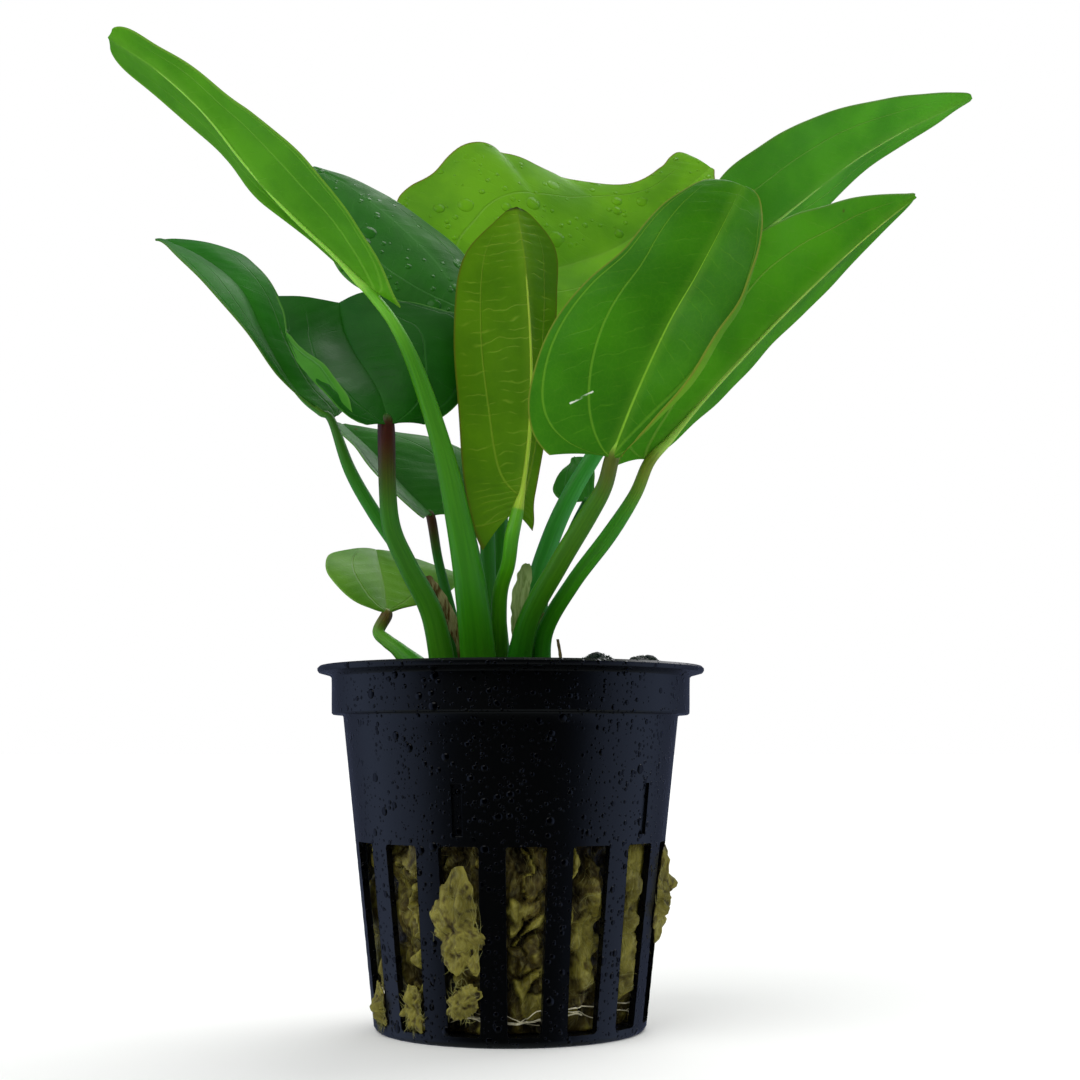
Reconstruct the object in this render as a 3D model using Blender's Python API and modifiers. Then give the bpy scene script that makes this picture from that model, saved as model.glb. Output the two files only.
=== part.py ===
"""Potted echinodorus: a rosette of stalked leaves growing from a plug of rock wool
in a small slotted net pot. Metres, +Z up, pot base centred on the origin, the
front of the plant towards -Y."""
import bpy
import bmesh
import numpy as np
from mathutils import Matrix

# Pot, a round slotted tub of thin black plastic
RIM_RADIUS = 0.0275
RIM_TOP = 0.0503
RIM_UNDER = 0.0490
COLLAR_RADIUS = 0.0254
COLLAR_BOTTOM = 0.0435
BODY_TOP_RADIUS = 0.0238
BASE_RADIUS = 0.01895
WALL = 0.0009
FLOOR = 0.0012
SLOT_BOTTOM = 0.0014
SLOT_TOP = 0.0260
SLOT_WIDTH_LOW = 0.0045
SLOT_WIDTH_HIGH = 0.0057
SLOT_COUNT = 15
SLOT_FIRST_DEG = 6.5
POT_STEPS = 60

# Clearance left between pieces that touch
GAP = 0.0003

# Rock wool plug
WOOL_TOP = 0.0465
WOOL_HOLLOW_RADIUS = 0.0123
WOOL_HOLLOW_FLOOR = 0.0436

# Short crown that carries the stalks
CROWN_CENTRE = (-0.0018, 0.0)
CROWN_RADIUS = 0.0098
CROWN_BOTTOM = 0.0440
CROWN_TOP = 0.0462
FOOT_HEIGHT = 0.0470

BLADE_THICKNESS = 0.0005
SHEATH_THICKNESS = 0.0003
BLADE_ROWS = 10
BLADE_COLUMNS = 6
STALK_ROWS = 8

# One entry per leaf. rib: midrib from base to tip. face: direction the upper side
# looks at the base and at the tip. fold: degrees each half rises from the midrib.
# left, right: half widths from base to tip. lobe: how far each half reaches back
# past the base. foot: where the stalk leaves the crown. path: the stalk between
# its foot and the blade. radii: stalk radius from foot to blade.
LEAVES = {
    "upper_left": dict(
        rib=((-0.0186, -0.0170, 0.1007), (-0.0253, -0.0186, 0.1071), (-0.0330, -0.0201, 0.1142),
             (-0.0390, -0.0200, 0.1217), (-0.0460, -0.0197, 0.1295), (-0.0557, -0.0180, 0.1368)),
        face=((0.90, 0.31, 0.32), (0.70, 0.65, 0.30)), fold=(14, 21),
        left=(0.0009, 0.0049, 0.0094, 0.0092, 0.0045, 0.0025, 0.0004),
        right=(0.0009, 0.0048, 0.0064, 0.0076, 0.0076, 0.0052, 0.0004), lobe=(0.0046, -0.0024),
        foot=(-0.0044, -0.0035),
        path=((-0.0055, -0.0100, 0.0605), (-0.0071, -0.0130, 0.0699), (-0.0092, -0.0155, 0.0792),
              (-0.0125, -0.0171, 0.0893), (-0.0156, -0.0179, 0.0959)),
        radii=(0.0026, 0.0025, 0.0023, 0.0020, 0.0018, 0.0016, 0.0013, 0.0006)),
    "left": dict(
        rib=((-0.0256, -0.0030, 0.0858), (-0.0313, -0.0029, 0.0902), (-0.0357, -0.0013, 0.0975),
             (-0.0397, 0.0016, 0.1055), (-0.0456, 0.0069, 0.1114), (-0.0541, 0.0140, 0.1171)),
        face=((0.53, -0.34, 0.77), (0.38, -0.53, 0.76)), fold=(11, 10),
        left=(0.0009, 0.0044, 0.0058, 0.0105, 0.0095, 0.0047, 0.0004),
        right=(0.0009, 0.0047, 0.0074, 0.0069, 0.0068, 0.0054, 0.0004), lobe=(-0.0013, -0.0002),
        foot=(-0.0076, 0.0010),
        path=((-0.0100, -0.0005, 0.0563), (-0.0151, -0.0020, 0.0648), (-0.0201, -0.0030, 0.0719),
              (-0.0235, -0.0040, 0.0782)),
        radii=(0.0013, 0.0013, 0.0012, 0.0010, 0.0009, 0.0009, 0.0005)),
    "left_centre": dict(
        rib=((-0.0167, -0.0140, 0.0828), (-0.0186, -0.0125, 0.0871), (-0.0210, -0.0103, 0.0919),
             (-0.0238, -0.0074, 0.0965), (-0.0264, -0.0043, 0.1003), (-0.0284, -0.0020, 0.1029)),
        face=((0.48, -0.71, 0.52), (0.36, -0.79, 0.50)), fold=(25, 16),
        left=(0.0009, 0.0065, 0.0087, 0.0122, 0.0080, 0.0055, 0.0004),
        right=(0.0009, 0.0093, 0.0133, 0.0153, 0.0107, 0.0061, 0.0004), lobe=(-0.0002, 0.0017),
        foot=(-0.0094, -0.0030),
        path=((-0.0110, -0.0060, 0.0573), (-0.0143, -0.0095, 0.0640), (-0.0163, -0.0115, 0.0687),
              (-0.0168, -0.0135, 0.0740)),
        radii=(0.0021, 0.0021, 0.0020, 0.0015, 0.0013, 0.0012, 0.0008)),
    "left_back": dict(
        rib=((-0.0118, 0.0060, 0.0729), (-0.0160, 0.0080, 0.0771), (-0.0209, 0.0120, 0.0830),
             (-0.0264, 0.0160, 0.0884)),
        face=((0.52, -0.64, 0.57), (0.51, -0.64, 0.58)), fold=(23, 15),
        left=(0.0009, 0.0081, 0.0088, 0.0093, 0.0067, 0.0030, 0.0004),
        right=(0.0009, 0.0089, 0.0125, 0.0141, 0.0070, 0.0028, 0.0004), lobe=(0.0011, 0.0034),
        foot=(-0.0064, 0.0047),
        path=((-0.0090, 0.0055, 0.0589), (-0.0109, 0.0065, 0.0664)),
        radii=(0.0008, 0.0008, 0.0008, 0.0006, 0.0006)),
    "front": dict(
        rib=((0.0003, -0.0100, 0.0691), (0.0020, -0.0106, 0.0759), (0.0029, -0.0110, 0.0864),
             (0.0027, -0.0110, 0.0967), (0.0020, -0.0106, 0.1064), (0.0009, -0.0095, 0.1146)),
        face=((-0.36, 0.93, 0.05), (-0.30, 0.95, 0.05)), fold=(20, 11),
        left=(0.0009, 0.0037, 0.0032, 0.0038, 0.0057, 0.0045, 0.0004),
        right=(0.0009, 0.0048, 0.0081, 0.0103, 0.0098, 0.0052, 0.0004), lobe=(0.0013, 0.0048),
        foot=(-0.0017, 0.0001),
        path=((-0.0016, -0.0062, 0.0594), (-0.0003, -0.0105, 0.0640), (0.0002, -0.0119, 0.0675)),
        radii=(0.0015, 0.0015, 0.0015, 0.0013, 0.0011, 0.0006)),
    "back_left": dict(
        rib=((-0.0051, 0.0060, 0.1037), (-0.0088, 0.0070, 0.1078), (-0.0127, 0.0090, 0.1132),
             (-0.0193, 0.0120, 0.1202), (-0.0258, 0.0150, 0.1259), (-0.0317, 0.0180, 0.1300)),
        face=((0.28, -0.86, 0.42), (0.29, -0.85, 0.44)), fold=(-8, -17),
        left=(0.0009, 0.0044, 0.0097, 0.0130, 0.0078, 0.0039, 0.0004),
        right=(0.0009, 0.0046, 0.0059, 0.0054, 0.0042, 0.0031, 0.0004), lobe=(-0.0023, 0.0003),
        foot=(-0.0039, 0.0032),
        path=((-0.0034, 0.0040, 0.0603), (-0.0036, 0.0045, 0.0684), (-0.0041, 0.0055, 0.0827)),
        radii=(0.0012, 0.0012, 0.0011, 0.0011, 0.0010, 0.0005)),
    "back": dict(
        rib=((-0.0071, 0.0180, 0.1093), (0.0010, 0.0210, 0.1131), (0.0098, 0.0250, 0.1163),
             (0.0189, 0.0290, 0.1214), (0.0274, 0.0330, 0.1303), (0.0328, 0.0360, 0.1359)),
        face=((-0.10, -0.98, 0.17), (-0.14, -0.96, 0.24)), fold=(1, 14),
        left=(0.0009, 0.0188, 0.0262, 0.0236, 0.0080, 0.0061, 0.0004),
        right=(0.0009, 0.0058, 0.0096, 0.0084, 0.0061, 0.0031, 0.0004), lobe=(0.0052, -0.0003),
        foot=(-0.0010, 0.0043),
        path=((-0.0021, 0.0085, 0.0607), (-0.0019, 0.0125, 0.0762), (-0.0039, 0.0155, 0.0922)),
        radii=(0.0012, 0.0012, 0.0011, 0.0011, 0.0010, 0.0005)),
    "right_front": dict(
        rib=((0.0136, -0.0220, 0.0770), (0.0169, -0.0234, 0.0853), (0.0212, -0.0241, 0.0946),
             (0.0251, -0.0227, 0.1016), (0.0293, -0.0198, 0.1099), (0.0320, -0.0170, 0.1158)),
        face=((-0.14, -0.98, 0.13), (-0.13, -0.98, 0.17)), fold=(6, 11),
        left=(0.0009, 0.0112, 0.0135, 0.0099, 0.0071, 0.0038, 0.0004),
        right=(0.0009, 0.0034, 0.0058, 0.0068, 0.0059, 0.0028, 0.0004), lobe=(0.0020, -0.0002),
        foot=(0.0007, -0.0040),
        path=((0.0025, -0.0080, 0.0565), (0.0066, -0.0130, 0.0637), (0.0106, -0.0170, 0.0700),
              (0.0127, -0.0195, 0.0735)),
        radii=(0.0020, 0.0020, 0.0020, 0.0018, 0.0015, 0.0013, 0.0007)),
    "right": dict(
        rib=((0.0193, -0.0150, 0.0782), (0.0289, -0.0150, 0.0873), (0.0389, -0.0130, 0.0976),
             (0.0463, -0.0110, 0.1053), (0.0541, -0.0080, 0.1137), (0.0582, -0.0060, 0.1177)),
        face=((-0.60, 0.57, 0.56), (-0.54, 0.55, 0.64)), fold=(28, 20),
        left=(0.0009, 0.0050, 0.0082, 0.0115, 0.0066, 0.0031, 0.0004),
        right=(0.0009, 0.0050, 0.0104, 0.0140, 0.0057, 0.0027, 0.0004), lobe=(-0.0006, 0.0059),
        foot=(0.0050, -0.0027),
        path=((0.0056, -0.0045, 0.0551), (0.0090, -0.0090, 0.0616), (0.0138, -0.0120, 0.0679),
              (0.0176, -0.0140, 0.0732)),
        radii=(0.0019, 0.0019, 0.0018, 0.0015, 0.0012, 0.0010, 0.0005)),
    "upper_right": dict(
        rib=((0.0287, 0.0120, 0.1110), (0.0344, 0.0132, 0.1169), (0.0407, 0.0144, 0.1224),
             (0.0496, 0.0161, 0.1291), (0.0596, 0.0193, 0.1365), (0.0741, 0.0250, 0.1440)),
        face=((-0.53, 0.60, 0.60), (-0.48, 0.53, 0.70)), fold=(14, 15),
        left=(0.0009, 0.0057, 0.0072, 0.0082, 0.0078, 0.0034, 0.0004),
        right=(0.0009, 0.0061, 0.0095, 0.0094, 0.0069, 0.0028, 0.0004), lobe=(-0.0003, 0.0010),
        foot=(0.0019, 0.0019),
        path=((0.0034, 0.0030, 0.0602), (0.0064, 0.0050, 0.0692), (0.0098, 0.0070, 0.0769),
              (0.0147, 0.0090, 0.0856), (0.0217, 0.0110, 0.0991)),
        radii=(0.0015, 0.0015, 0.0014, 0.0014, 0.0013, 0.0012, 0.0011, 0.0006)),
    "small_back": dict(
        rib=((0.0111, 0.0160, 0.0765), (0.0103, 0.0180, 0.0803), (0.0095, 0.0210, 0.0842)),
        face=((0.07, -0.94, 0.32), (0.08, -0.94, 0.33)), fold=(5, 3),
        left=(0.0009, 0.0020, 0.0037, 0.0043, 0.0035, 0.0019, 0.0004),
        right=(0.0009, 0.0019, 0.0032, 0.0030, 0.0028, 0.0018, 0.0004), lobe=(0.0002, -0.0015),
        foot=(0.0045, 0.0050),
        path=((0.0050, 0.0100, 0.0623), (0.0091, 0.0172, 0.0724)),
        radii=(0.0007, 0.0007, 0.0006, 0.0006, 0.0004)),
    "small_left": dict(
        rib=((-0.0185, 0.0080, 0.0587), (-0.0193, 0.0120, 0.0625), (-0.0203, 0.0160, 0.0659),
             (-0.0214, 0.0210, 0.0694)),
        face=((0.17, -0.57, 0.81), (0.18, -0.56, 0.81)), fold=(11, 5),
        left=(0.0009, 0.0051, 0.0078, 0.0090, 0.0078, 0.0039, 0.0004),
        right=(0.0009, 0.0051, 0.0094, 0.0120, 0.0082, 0.0037, 0.0004), lobe=(-0.0001, -0.0013),
        foot=(-0.0140, 0.0058),
        path=((-0.0165, 0.0063, 0.0528), (-0.0183, 0.0070, 0.0544), (-0.0197, 0.0075, 0.0559)),
        radii=(0.0016, 0.0014, 0.0012, 0.0008, 0.0007, 0.0006)),
}

# Dried leaf sheaths between the stalks: path, half width along it, facing
SHEATHS = {
    "sheath_left": dict(
        rib=((-0.0069, -0.0011, 0.0470), (-0.0070, -0.0018, 0.0526), (-0.0087, -0.0023, 0.0569),
             (-0.0105, -0.0028, 0.0604), (-0.0120, -0.0030, 0.0631)),
        face=((0.3, -0.9, 0.2), (0.3, -0.9, 0.2)), width=(0.0004, 0.0004, 0.0007, 0.0011, 0.0010, 0.0007, 0.0003)),
    "sheath_middle": dict(
        rib=((0.0009, -0.0008, 0.0470), (0.0009, -0.0017, 0.0569), (0.0015, -0.0019, 0.0612),
             (0.0024, -0.0015, 0.0650)),
        face=((0.0, -1.0, 0.1), (0.0, -1.0, 0.1)), width=(0.0005, 0.0006, 0.0008, 0.0011, 0.0012, 0.0008, 0.0003)),
    "sheath_right": dict(
        rib=((0.0025, -0.0006, 0.0470), (0.0033, -0.0011, 0.0541), (0.0046, -0.0015, 0.0566),
             (0.0057, -0.0018, 0.0583)),
        face=((0.0, -1.0, 0.1), (0.0, -1.0, 0.1)), width=(0.0005, 0.0007, 0.0008, 0.0009, 0.0008, 0.0006, 0.0003)),
}

# Wool that works out through the slots: slot angle from the front, height, then
# the size of the lump outside the wall: across, up, out
TUFTS = (
    (-17.5, 0.0185, (0.0040, 0.0058, 0.0012)),
    (78.5, 0.0190, (0.0022, 0.0062, 0.0016)),
    (-65.5, 0.0052, (0.0021, 0.0026, 0.0014)),
    (-41.5, 0.0058, (0.0020, 0.0030, 0.0013)),
)

# Moss lumps on the wool: centre and half sizes
MOSS = {
    "moss_left": ((0.0121, -0.0100, 0.0494), (0.0032, 0.0026, 0.0026)),
    "moss_right": ((0.0188, -0.0080, 0.0491), (0.0029, 0.0023, 0.0023)),
}

# Thin dry sprout beside the crown
SPROUT_PATH = ((0.0066, -0.0080, 0.0440), (0.0067, -0.0080, 0.0480), (0.0070, -0.0081, 0.0510),
               (0.0066, -0.0082, 0.0538))
SPROUT_RADII = (0.0003, 0.0003, 0.0003, 0.0002)


def clear_scene():
    for ob in list(bpy.data.objects):
        bpy.data.objects.remove(ob, do_unlink=True)


def new_collection(name):
    col = bpy.data.collections.new(name)
    bpy.context.scene.collection.children.link(col)
    return col


def material(name, colour, roughness):
    mat = bpy.data.materials.new(name)
    mat.use_nodes = True
    shader = mat.node_tree.nodes["Principled BSDF"]
    shader.inputs["Base Color"].default_value = (colour[0], colour[1], colour[2], 1.0)
    shader.inputs["Roughness"].default_value = roughness
    mat.diffuse_color = (colour[0], colour[1], colour[2], 1.0)
    return mat


def add_object(name, data, col, mat=None):
    ob = bpy.data.objects.new(name, data)
    col.objects.link(ob)
    if mat is not None:
        data.materials.append(mat)
    return ob


def through(points, u):
    """Smooth curve through evenly spaced points, u from 0 to the last index."""
    p = np.asarray(points, float)
    if p.ndim == 1:
        return through(p[:, None], u)[..., 0]
    u = np.asarray(u, float)
    q = np.vstack([2 * p[0] - p[1], p, 2 * p[-1] - p[-2]])
    i = np.clip(u.astype(int), 0, len(p) - 2)
    f = (u - i)[..., None]
    a, b, c, d = q[i], q[i + 1], q[i + 2], q[i + 3]
    rise = c - a
    bend = 2 * a - 5 * b + 4 * c - d
    twist = 3 * b - a - 3 * c + d
    return 0.5 * (2 * b + rise * f + bend * f ** 2 + twist * f ** 3)


def unit(vectors):
    v = np.asarray(vectors, float)
    return v / np.linalg.norm(v, axis=-1, keepdims=True)


def rib_frame(leaf, t):
    """Midrib point, direction, sideways and upper side normal at t from 0 to 1."""
    rib = np.array(leaf["rib"], float)
    n = len(rib) - 1
    t = np.asarray(t, float)
    here = through(rib, t * n)
    ahead = through(rib, np.minimum(t + 0.001, 1.0) * n)
    behind = through(rib, np.maximum(t - 0.001, 0.0) * n)
    along = unit(ahead - behind)
    face = unit(leaf["face"][0]) * (1 - t[..., None]) + unit(leaf["face"][1]) * t[..., None]
    up = unit(face - (face * along).sum(-1, keepdims=True) * along)
    return here, along, np.cross(along, up), up


def blade_points(leaf, s, v):
    """Blade surface: s from base to tip with close rows at both ends, v across."""
    t = 0.5 - 0.5 * np.cos(np.pi * s)
    here, along, side, up = rib_frame(leaf, t)
    count = len(leaf["left"]) - 1
    half = np.where(v < 0, through(leaf["left"], s * count), through(leaf["right"], s * count))
    across = np.abs(v)
    fold = np.radians(np.where(v < 0, leaf["fold"][0], leaf["fold"][1]))
    reach = half * across
    back = np.where(v < 0, leaf["lobe"][0], leaf["lobe"][1]) * across ** 1.5 * (1 - s) ** 3
    out = here + side * (np.sign(v) * reach * np.cos(fold))[..., None]
    return out + up * (reach * np.sin(fold))[..., None] - along * back[..., None]


def build_blade(name, leaf, thickness, rows, columns, col, mat):
    bm = bmesh.new()
    bmesh.ops.create_grid(bm, x_segments=rows, y_segments=columns, size=1.0)
    flat = np.array([v.co[:] for v in bm.verts])
    s = (flat[:, 0] + 1) / 2
    v = flat[:, 1]
    placed = blade_points(leaf, s, v)
    for vert, co in zip(bm.verts, placed):
        vert.co = co
    bmesh.ops.recalc_face_normals(bm, faces=bm.faces)
    mesh = bpy.data.meshes.new(name)
    bm.to_mesh(mesh)
    bm.free()
    ob = add_object(name, mesh, col, mat)
    solid = ob.modifiers.new("thickness", "SOLIDIFY")
    solid.thickness = thickness
    solid.offset = 0.0
    return ob


def build_stalk(name, points, radii, col, mat, rows=STALK_ROWS, round_steps=2):
    """Round stem along a smooth path, closed at both ends."""
    curve = bpy.data.curves.new(name, "CURVE")
    curve.dimensions = "3D"
    curve.bevel_depth = 1.0
    curve.bevel_resolution = round_steps
    curve.use_fill_caps = True
    u = np.linspace(0, len(points) - 2, rows)
    centres = np.vstack([points[0], through(points[1:], u)])
    sizes = np.append(radii[0], through(np.array(radii[1:], float), u))
    spline = curve.splines.new("POLY")
    spline.points.add(rows)
    for point, centre, size in zip(spline.points, centres, sizes):
        point.co = (centre[0], centre[1], centre[2], 1.0)
        point.radius = size
    return add_object(name, curve, col, mat)


def stalk_points(leaf):
    """Foot, a point straight above it, the path, then a landing under the midrib."""
    here, along, side, up = rib_frame(leaf, np.array(0.0))
    landing = here - up * (leaf["radii"][-1] + 0.0007) + along * 0.0008
    foot = leaf["foot"]
    start = [(foot[0], foot[1], FOOT_HEIGHT), (foot[0], foot[1], FOOT_HEIGHT + 0.0018)]
    return start + list(leaf["path"]) + [tuple(landing)]


def build_pot(col, cut_col, mat):
    wall_slope = (BODY_TOP_RADIUS - BASE_RADIUS) / COLLAR_BOTTOM
    inner_low = BASE_RADIUS + wall_slope * FLOOR - WALL
    profile = (
        (0.0, FLOOR),
        (inner_low, FLOOR),
        (BODY_TOP_RADIUS - WALL, COLLAR_BOTTOM + WALL * 0.6),
        (COLLAR_RADIUS - WALL, COLLAR_BOTTOM + WALL),
        (COLLAR_RADIUS - WALL * 0.9, RIM_TOP - 0.0004),
        (COLLAR_RADIUS - WALL * 0.4, RIM_TOP),
        (RIM_RADIUS - 0.0002, RIM_TOP - 0.0002),
        (RIM_RADIUS, RIM_TOP - 0.0008),
        (COLLAR_RADIUS + 0.0001, RIM_UNDER),
        (COLLAR_RADIUS, COLLAR_BOTTOM),
        (BODY_TOP_RADIUS, COLLAR_BOTTOM - 0.0001),
        (BASE_RADIUS, 0.0006),
        (BASE_RADIUS - 0.0006, 0.0),
        (0.0, 0.0),
    )
    mesh = bpy.data.meshes.new("net_pot")
    verts = [(r, 0.0, z) for r, z in profile]
    edges = [(i, i + 1) for i in range(len(profile) - 1)]
    mesh.from_pydata(verts, edges, [])
    ob = add_object("net_pot", mesh, col, mat)
    turn = ob.modifiers.new("turn", "SCREW")
    turn.axis = "Z"
    turn.steps = POT_STEPS
    turn.render_steps = POT_STEPS
    turn.use_merge_vertices = True
    turn.merge_threshold = 0.0001
    turn.use_normal_calculate = True

    bm = bmesh.new()
    for k in range(SLOT_COUNT):
        angle = np.radians(SLOT_FIRST_DEG + k * 360.0 / SLOT_COUNT)
        before = set(bm.verts)
        bmesh.ops.create_cube(bm, size=1.0)
        outward = np.array((np.sin(angle), -np.cos(angle), 0.0))
        across = np.array((np.cos(angle), np.sin(angle), 0.0))
        for vert in [w for w in bm.verts if w not in before]:
            x, y, z = vert.co
            width = SLOT_WIDTH_HIGH if z > 0 else SLOT_WIDTH_LOW
            height = SLOT_TOP if z > 0 else SLOT_BOTTOM
            place = outward * (0.0205 + y * 0.009) - across * x * width
            vert.co = (place[0], place[1], height)
    cutter_mesh = bpy.data.meshes.new("slot_cutters")
    bm.to_mesh(cutter_mesh)
    bm.free()
    cutters = add_object("slot_cutters", cutter_mesh, cut_col)
    cutters.hide_render = True
    cutters.display_type = "WIRE"
    cut = ob.modifiers.new("slots", "BOOLEAN")
    cut.operation = "DIFFERENCE"
    cut.solver = "EXACT"
    cut.object = cutters
    return ob


def wall_inside(z):
    """Inner radius of the pot wall at a height."""
    slope = (BODY_TOP_RADIUS - BASE_RADIUS) / COLLAR_BOTTOM
    return BASE_RADIUS + slope * np.asarray(z, float) - WALL


def build_wool(col, cut_col, mat):
    """Plug of wool: a ball whose rows are laid on a tub profile, then puffed out
    between the ribs of the pot."""
    low = FLOOR + GAP
    heights = np.array((low, low, 0.0035, 0.0080, 0.0125, 0.0170, 0.0215, 0.0255, 0.0350, WOOL_TOP,
                        WOOL_TOP - 0.0003, WOOL_HOLLOW_FLOOR, WOOL_HOLLOW_FLOOR))
    radii = wall_inside(heights) - GAP - 0.0001
    radii[0] = 0.0
    radii[1] = radii[1] - 0.0006
    radii[9] = radii[9] - 0.0003
    radii[10] = WOOL_HOLLOW_RADIUS + 0.0007
    radii[11] = WOOL_HOLLOW_RADIUS
    radii[12] = 0.0
    rows = len(heights) - 1
    bm = bmesh.new()
    bmesh.ops.create_uvsphere(bm, u_segments=60, v_segments=rows, radius=1.0)
    for vert in bm.verts:
        x, y, z = vert.co
        row = int(round((1 - np.arccos(np.clip(z, -1, 1)) / np.pi) * rows))
        angle = np.degrees(np.arctan2(x, -y))
        phase = angle % 24.0
        r = radii[row]
        if 2 <= row <= 6 and min(phase, 24.0 - phase) < 2.0:
            k = int(round(angle / 24.0)) % SLOT_COUNT
            r = r + 0.0005 + 0.0007 * (0.5 + 0.5 * np.sin(2.1 * k + 1.7 * row))
        if row == rows or row == 0:
            r = 0.0
        vert.co = (r * np.sin(np.radians(angle)), -r * np.cos(np.radians(angle)), heights[row])
    bmesh.ops.rotate(bm, verts=bm.verts, cent=(0, 0, 0), matrix=Matrix.Rotation(np.radians(SLOT_FIRST_DEG), 3, "Z"))
    bmesh.ops.recalc_face_normals(bm, faces=bm.faces)
    mesh = bpy.data.meshes.new("rock_wool")
    bm.to_mesh(mesh)
    bm.free()
    ob = add_object("rock_wool", mesh, col, mat)
    for k, (angle_deg, height, size) in enumerate(TUFTS):
        lump = build_tuft(k, angle_deg, height, size, cut_col)
        join = ob.modifiers.new("tuft_%d" % k, "BOOLEAN")
        join.operation = "UNION"
        join.solver = "EXACT"
        join.object = lump
    return ob


def build_tuft(k, angle_deg, height, size, col):
    """Lump outside the wall, with a neck that stays inside the slot: a ball drawn
    out radially, narrow where it passes between the ribs."""
    angle = np.radians(angle_deg)
    outward = np.array((np.sin(angle), -np.cos(angle), 0.0))
    across = np.array((np.cos(angle), np.sin(angle), 0.0))
    slope = (BODY_TOP_RADIUS - BASE_RADIUS) / COLLAR_BOTTOM
    wall_out = BASE_RADIUS + slope * height
    share = (height - SLOT_BOTTOM) / (SLOT_TOP - SLOT_BOTTOM)
    slot_half = (SLOT_WIDTH_LOW + (SLOT_WIDTH_HIGH - SLOT_WIDTH_LOW) * share) / 2 - GAP - 0.0003
    depth = (-0.0032, -0.0032, -0.0022, -0.0010, 0.0004, 0.0004 + size[2] * 0.30,
             0.0004 + size[2] * 0.75, 0.0004 + size[2], 0.0004 + size[2])
    neck = min(slot_half, size[0])
    wide = (0.0, neck * 0.9, neck, neck, neck, size[0], size[0] * 0.85, size[0] * 0.45, 0.0)
    tall = (0.0, size[1] * 0.80, size[1] * 0.84, size[1] * 0.84, size[1] * 0.84, size[1],
            size[1] * 0.85, size[1] * 0.45, 0.0)
    rows = len(depth) - 1
    bm = bmesh.new()
    bmesh.ops.create_uvsphere(bm, u_segments=10, v_segments=rows, radius=1.0)
    for vert in bm.verts:
        x, y, z = vert.co
        row = int(round((1 - np.arccos(np.clip(z, -1, 1)) / np.pi) * rows))
        around = np.arctan2(y, x)
        lumpy = 1.0 - 0.12 * (0.5 + 0.5 * np.sin(3 * around + k))
        lean = slope * tall[row] * np.sin(around)
        place = outward * (wall_out + depth[row] + lean) + across * wide[row] * np.cos(around) * lumpy
        vert.co = (place[0], place[1], height + tall[row] * np.sin(around) * lumpy)
    bmesh.ops.recalc_face_normals(bm, faces=bm.faces)
    mesh = bpy.data.meshes.new("tuft_%d" % k)
    bm.to_mesh(mesh)
    bm.free()
    lump = add_object("tuft_%d" % k, mesh, col)
    lump.hide_render = True
    lump.display_type = "WIRE"
    return lump


def build_crown(col, mat):
    bm = bmesh.new()
    depth = CROWN_TOP - CROWN_BOTTOM
    bmesh.ops.create_cone(bm, cap_ends=True, segments=20, radius1=CROWN_RADIUS * 0.86, radius2=CROWN_RADIUS,
                          depth=depth)
    for vert in bm.verts:
        x, y, z = vert.co
        lumpy = 1.0 - 0.06 * (0.5 + 0.5 * np.sin(5 * np.arctan2(y, x)))
        vert.co = (CROWN_CENTRE[0] + x * lumpy, CROWN_CENTRE[1] + y * lumpy * 0.80,
                   z + (CROWN_TOP + CROWN_BOTTOM) / 2)
    bmesh.ops.recalc_face_normals(bm, faces=bm.faces)
    mesh = bpy.data.meshes.new("crown")
    bm.to_mesh(mesh)
    bm.free()
    return add_object("crown", mesh, col, mat)


def build_moss(name, centre, half, col, mat):
    bm = bmesh.new()
    bmesh.ops.create_uvsphere(bm, u_segments=12, v_segments=6, radius=1.0)
    for vert in bm.verts:
        x, y, z = vert.co
        lumpy = 1.0 - 0.08 * (0.5 + 0.5 * np.sin(4 * np.arctan2(y, x) + 2 * z))
        vert.co = (centre[0] + x * half[0] * lumpy, centre[1] + y * half[1] * lumpy, centre[2] + z * half[2])
    bmesh.ops.recalc_face_normals(bm, faces=bm.faces)
    mesh = bpy.data.meshes.new(name)
    bm.to_mesh(mesh)
    bm.free()
    return add_object(name, mesh, col, mat)


def main():
    clear_scene()
    col = new_collection("potted_echinodorus")
    cut_col = new_collection("cutters")
    pot_black = material("net pot plastic", (0.012, 0.014, 0.022), 0.35)
    wool_mat = material("rock wool", (0.180, 0.160, 0.050), 0.95)
    crown_mat = material("crown", (0.100, 0.080, 0.030), 0.80)
    stalk_mat = material("leaf stalk", (0.060, 0.240, 0.020), 0.45)
    blade_mat = material("leaf blade", (0.060, 0.270, 0.015), 0.40)
    dry_mat = material("dry sheath", (0.330, 0.290, 0.140), 0.85)
    moss_mat = material("moss", (0.010, 0.030, 0.015), 0.90)
    sprout_mat = material("dry sprout", (0.150, 0.110, 0.030), 0.80)

    build_pot(col, cut_col, pot_black)
    build_wool(col, cut_col, wool_mat)
    build_crown(col, crown_mat)
    for name, leaf in LEAVES.items():
        build_blade("blade_" + name, leaf, BLADE_THICKNESS, BLADE_ROWS, BLADE_COLUMNS, col, blade_mat)
        build_stalk("stalk_" + name, stalk_points(leaf), leaf["radii"], col, stalk_mat)
    for name, sheath in SHEATHS.items():
        strip = dict(rib=sheath["rib"], face=sheath["face"], fold=(12, 12), lobe=(0.0, 0.0),
                     left=sheath["width"], right=sheath["width"])
        build_blade(name, strip, SHEATH_THICKNESS, 6, 2, col, dry_mat)
    for name, (centre, half) in MOSS.items():
        build_moss(name, centre, half, col, moss_mat)
    build_stalk("dry_sprout", SPROUT_PATH, SPROUT_RADII, col, sprout_mat, rows=5, round_steps=1)


main()
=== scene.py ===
"""Potted echinodorus: the finished surfaces of the plant, its net pot and its rock wool,
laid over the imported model. Metres, +Z up, the camera on the -Y side."""
import functools
import math

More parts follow.
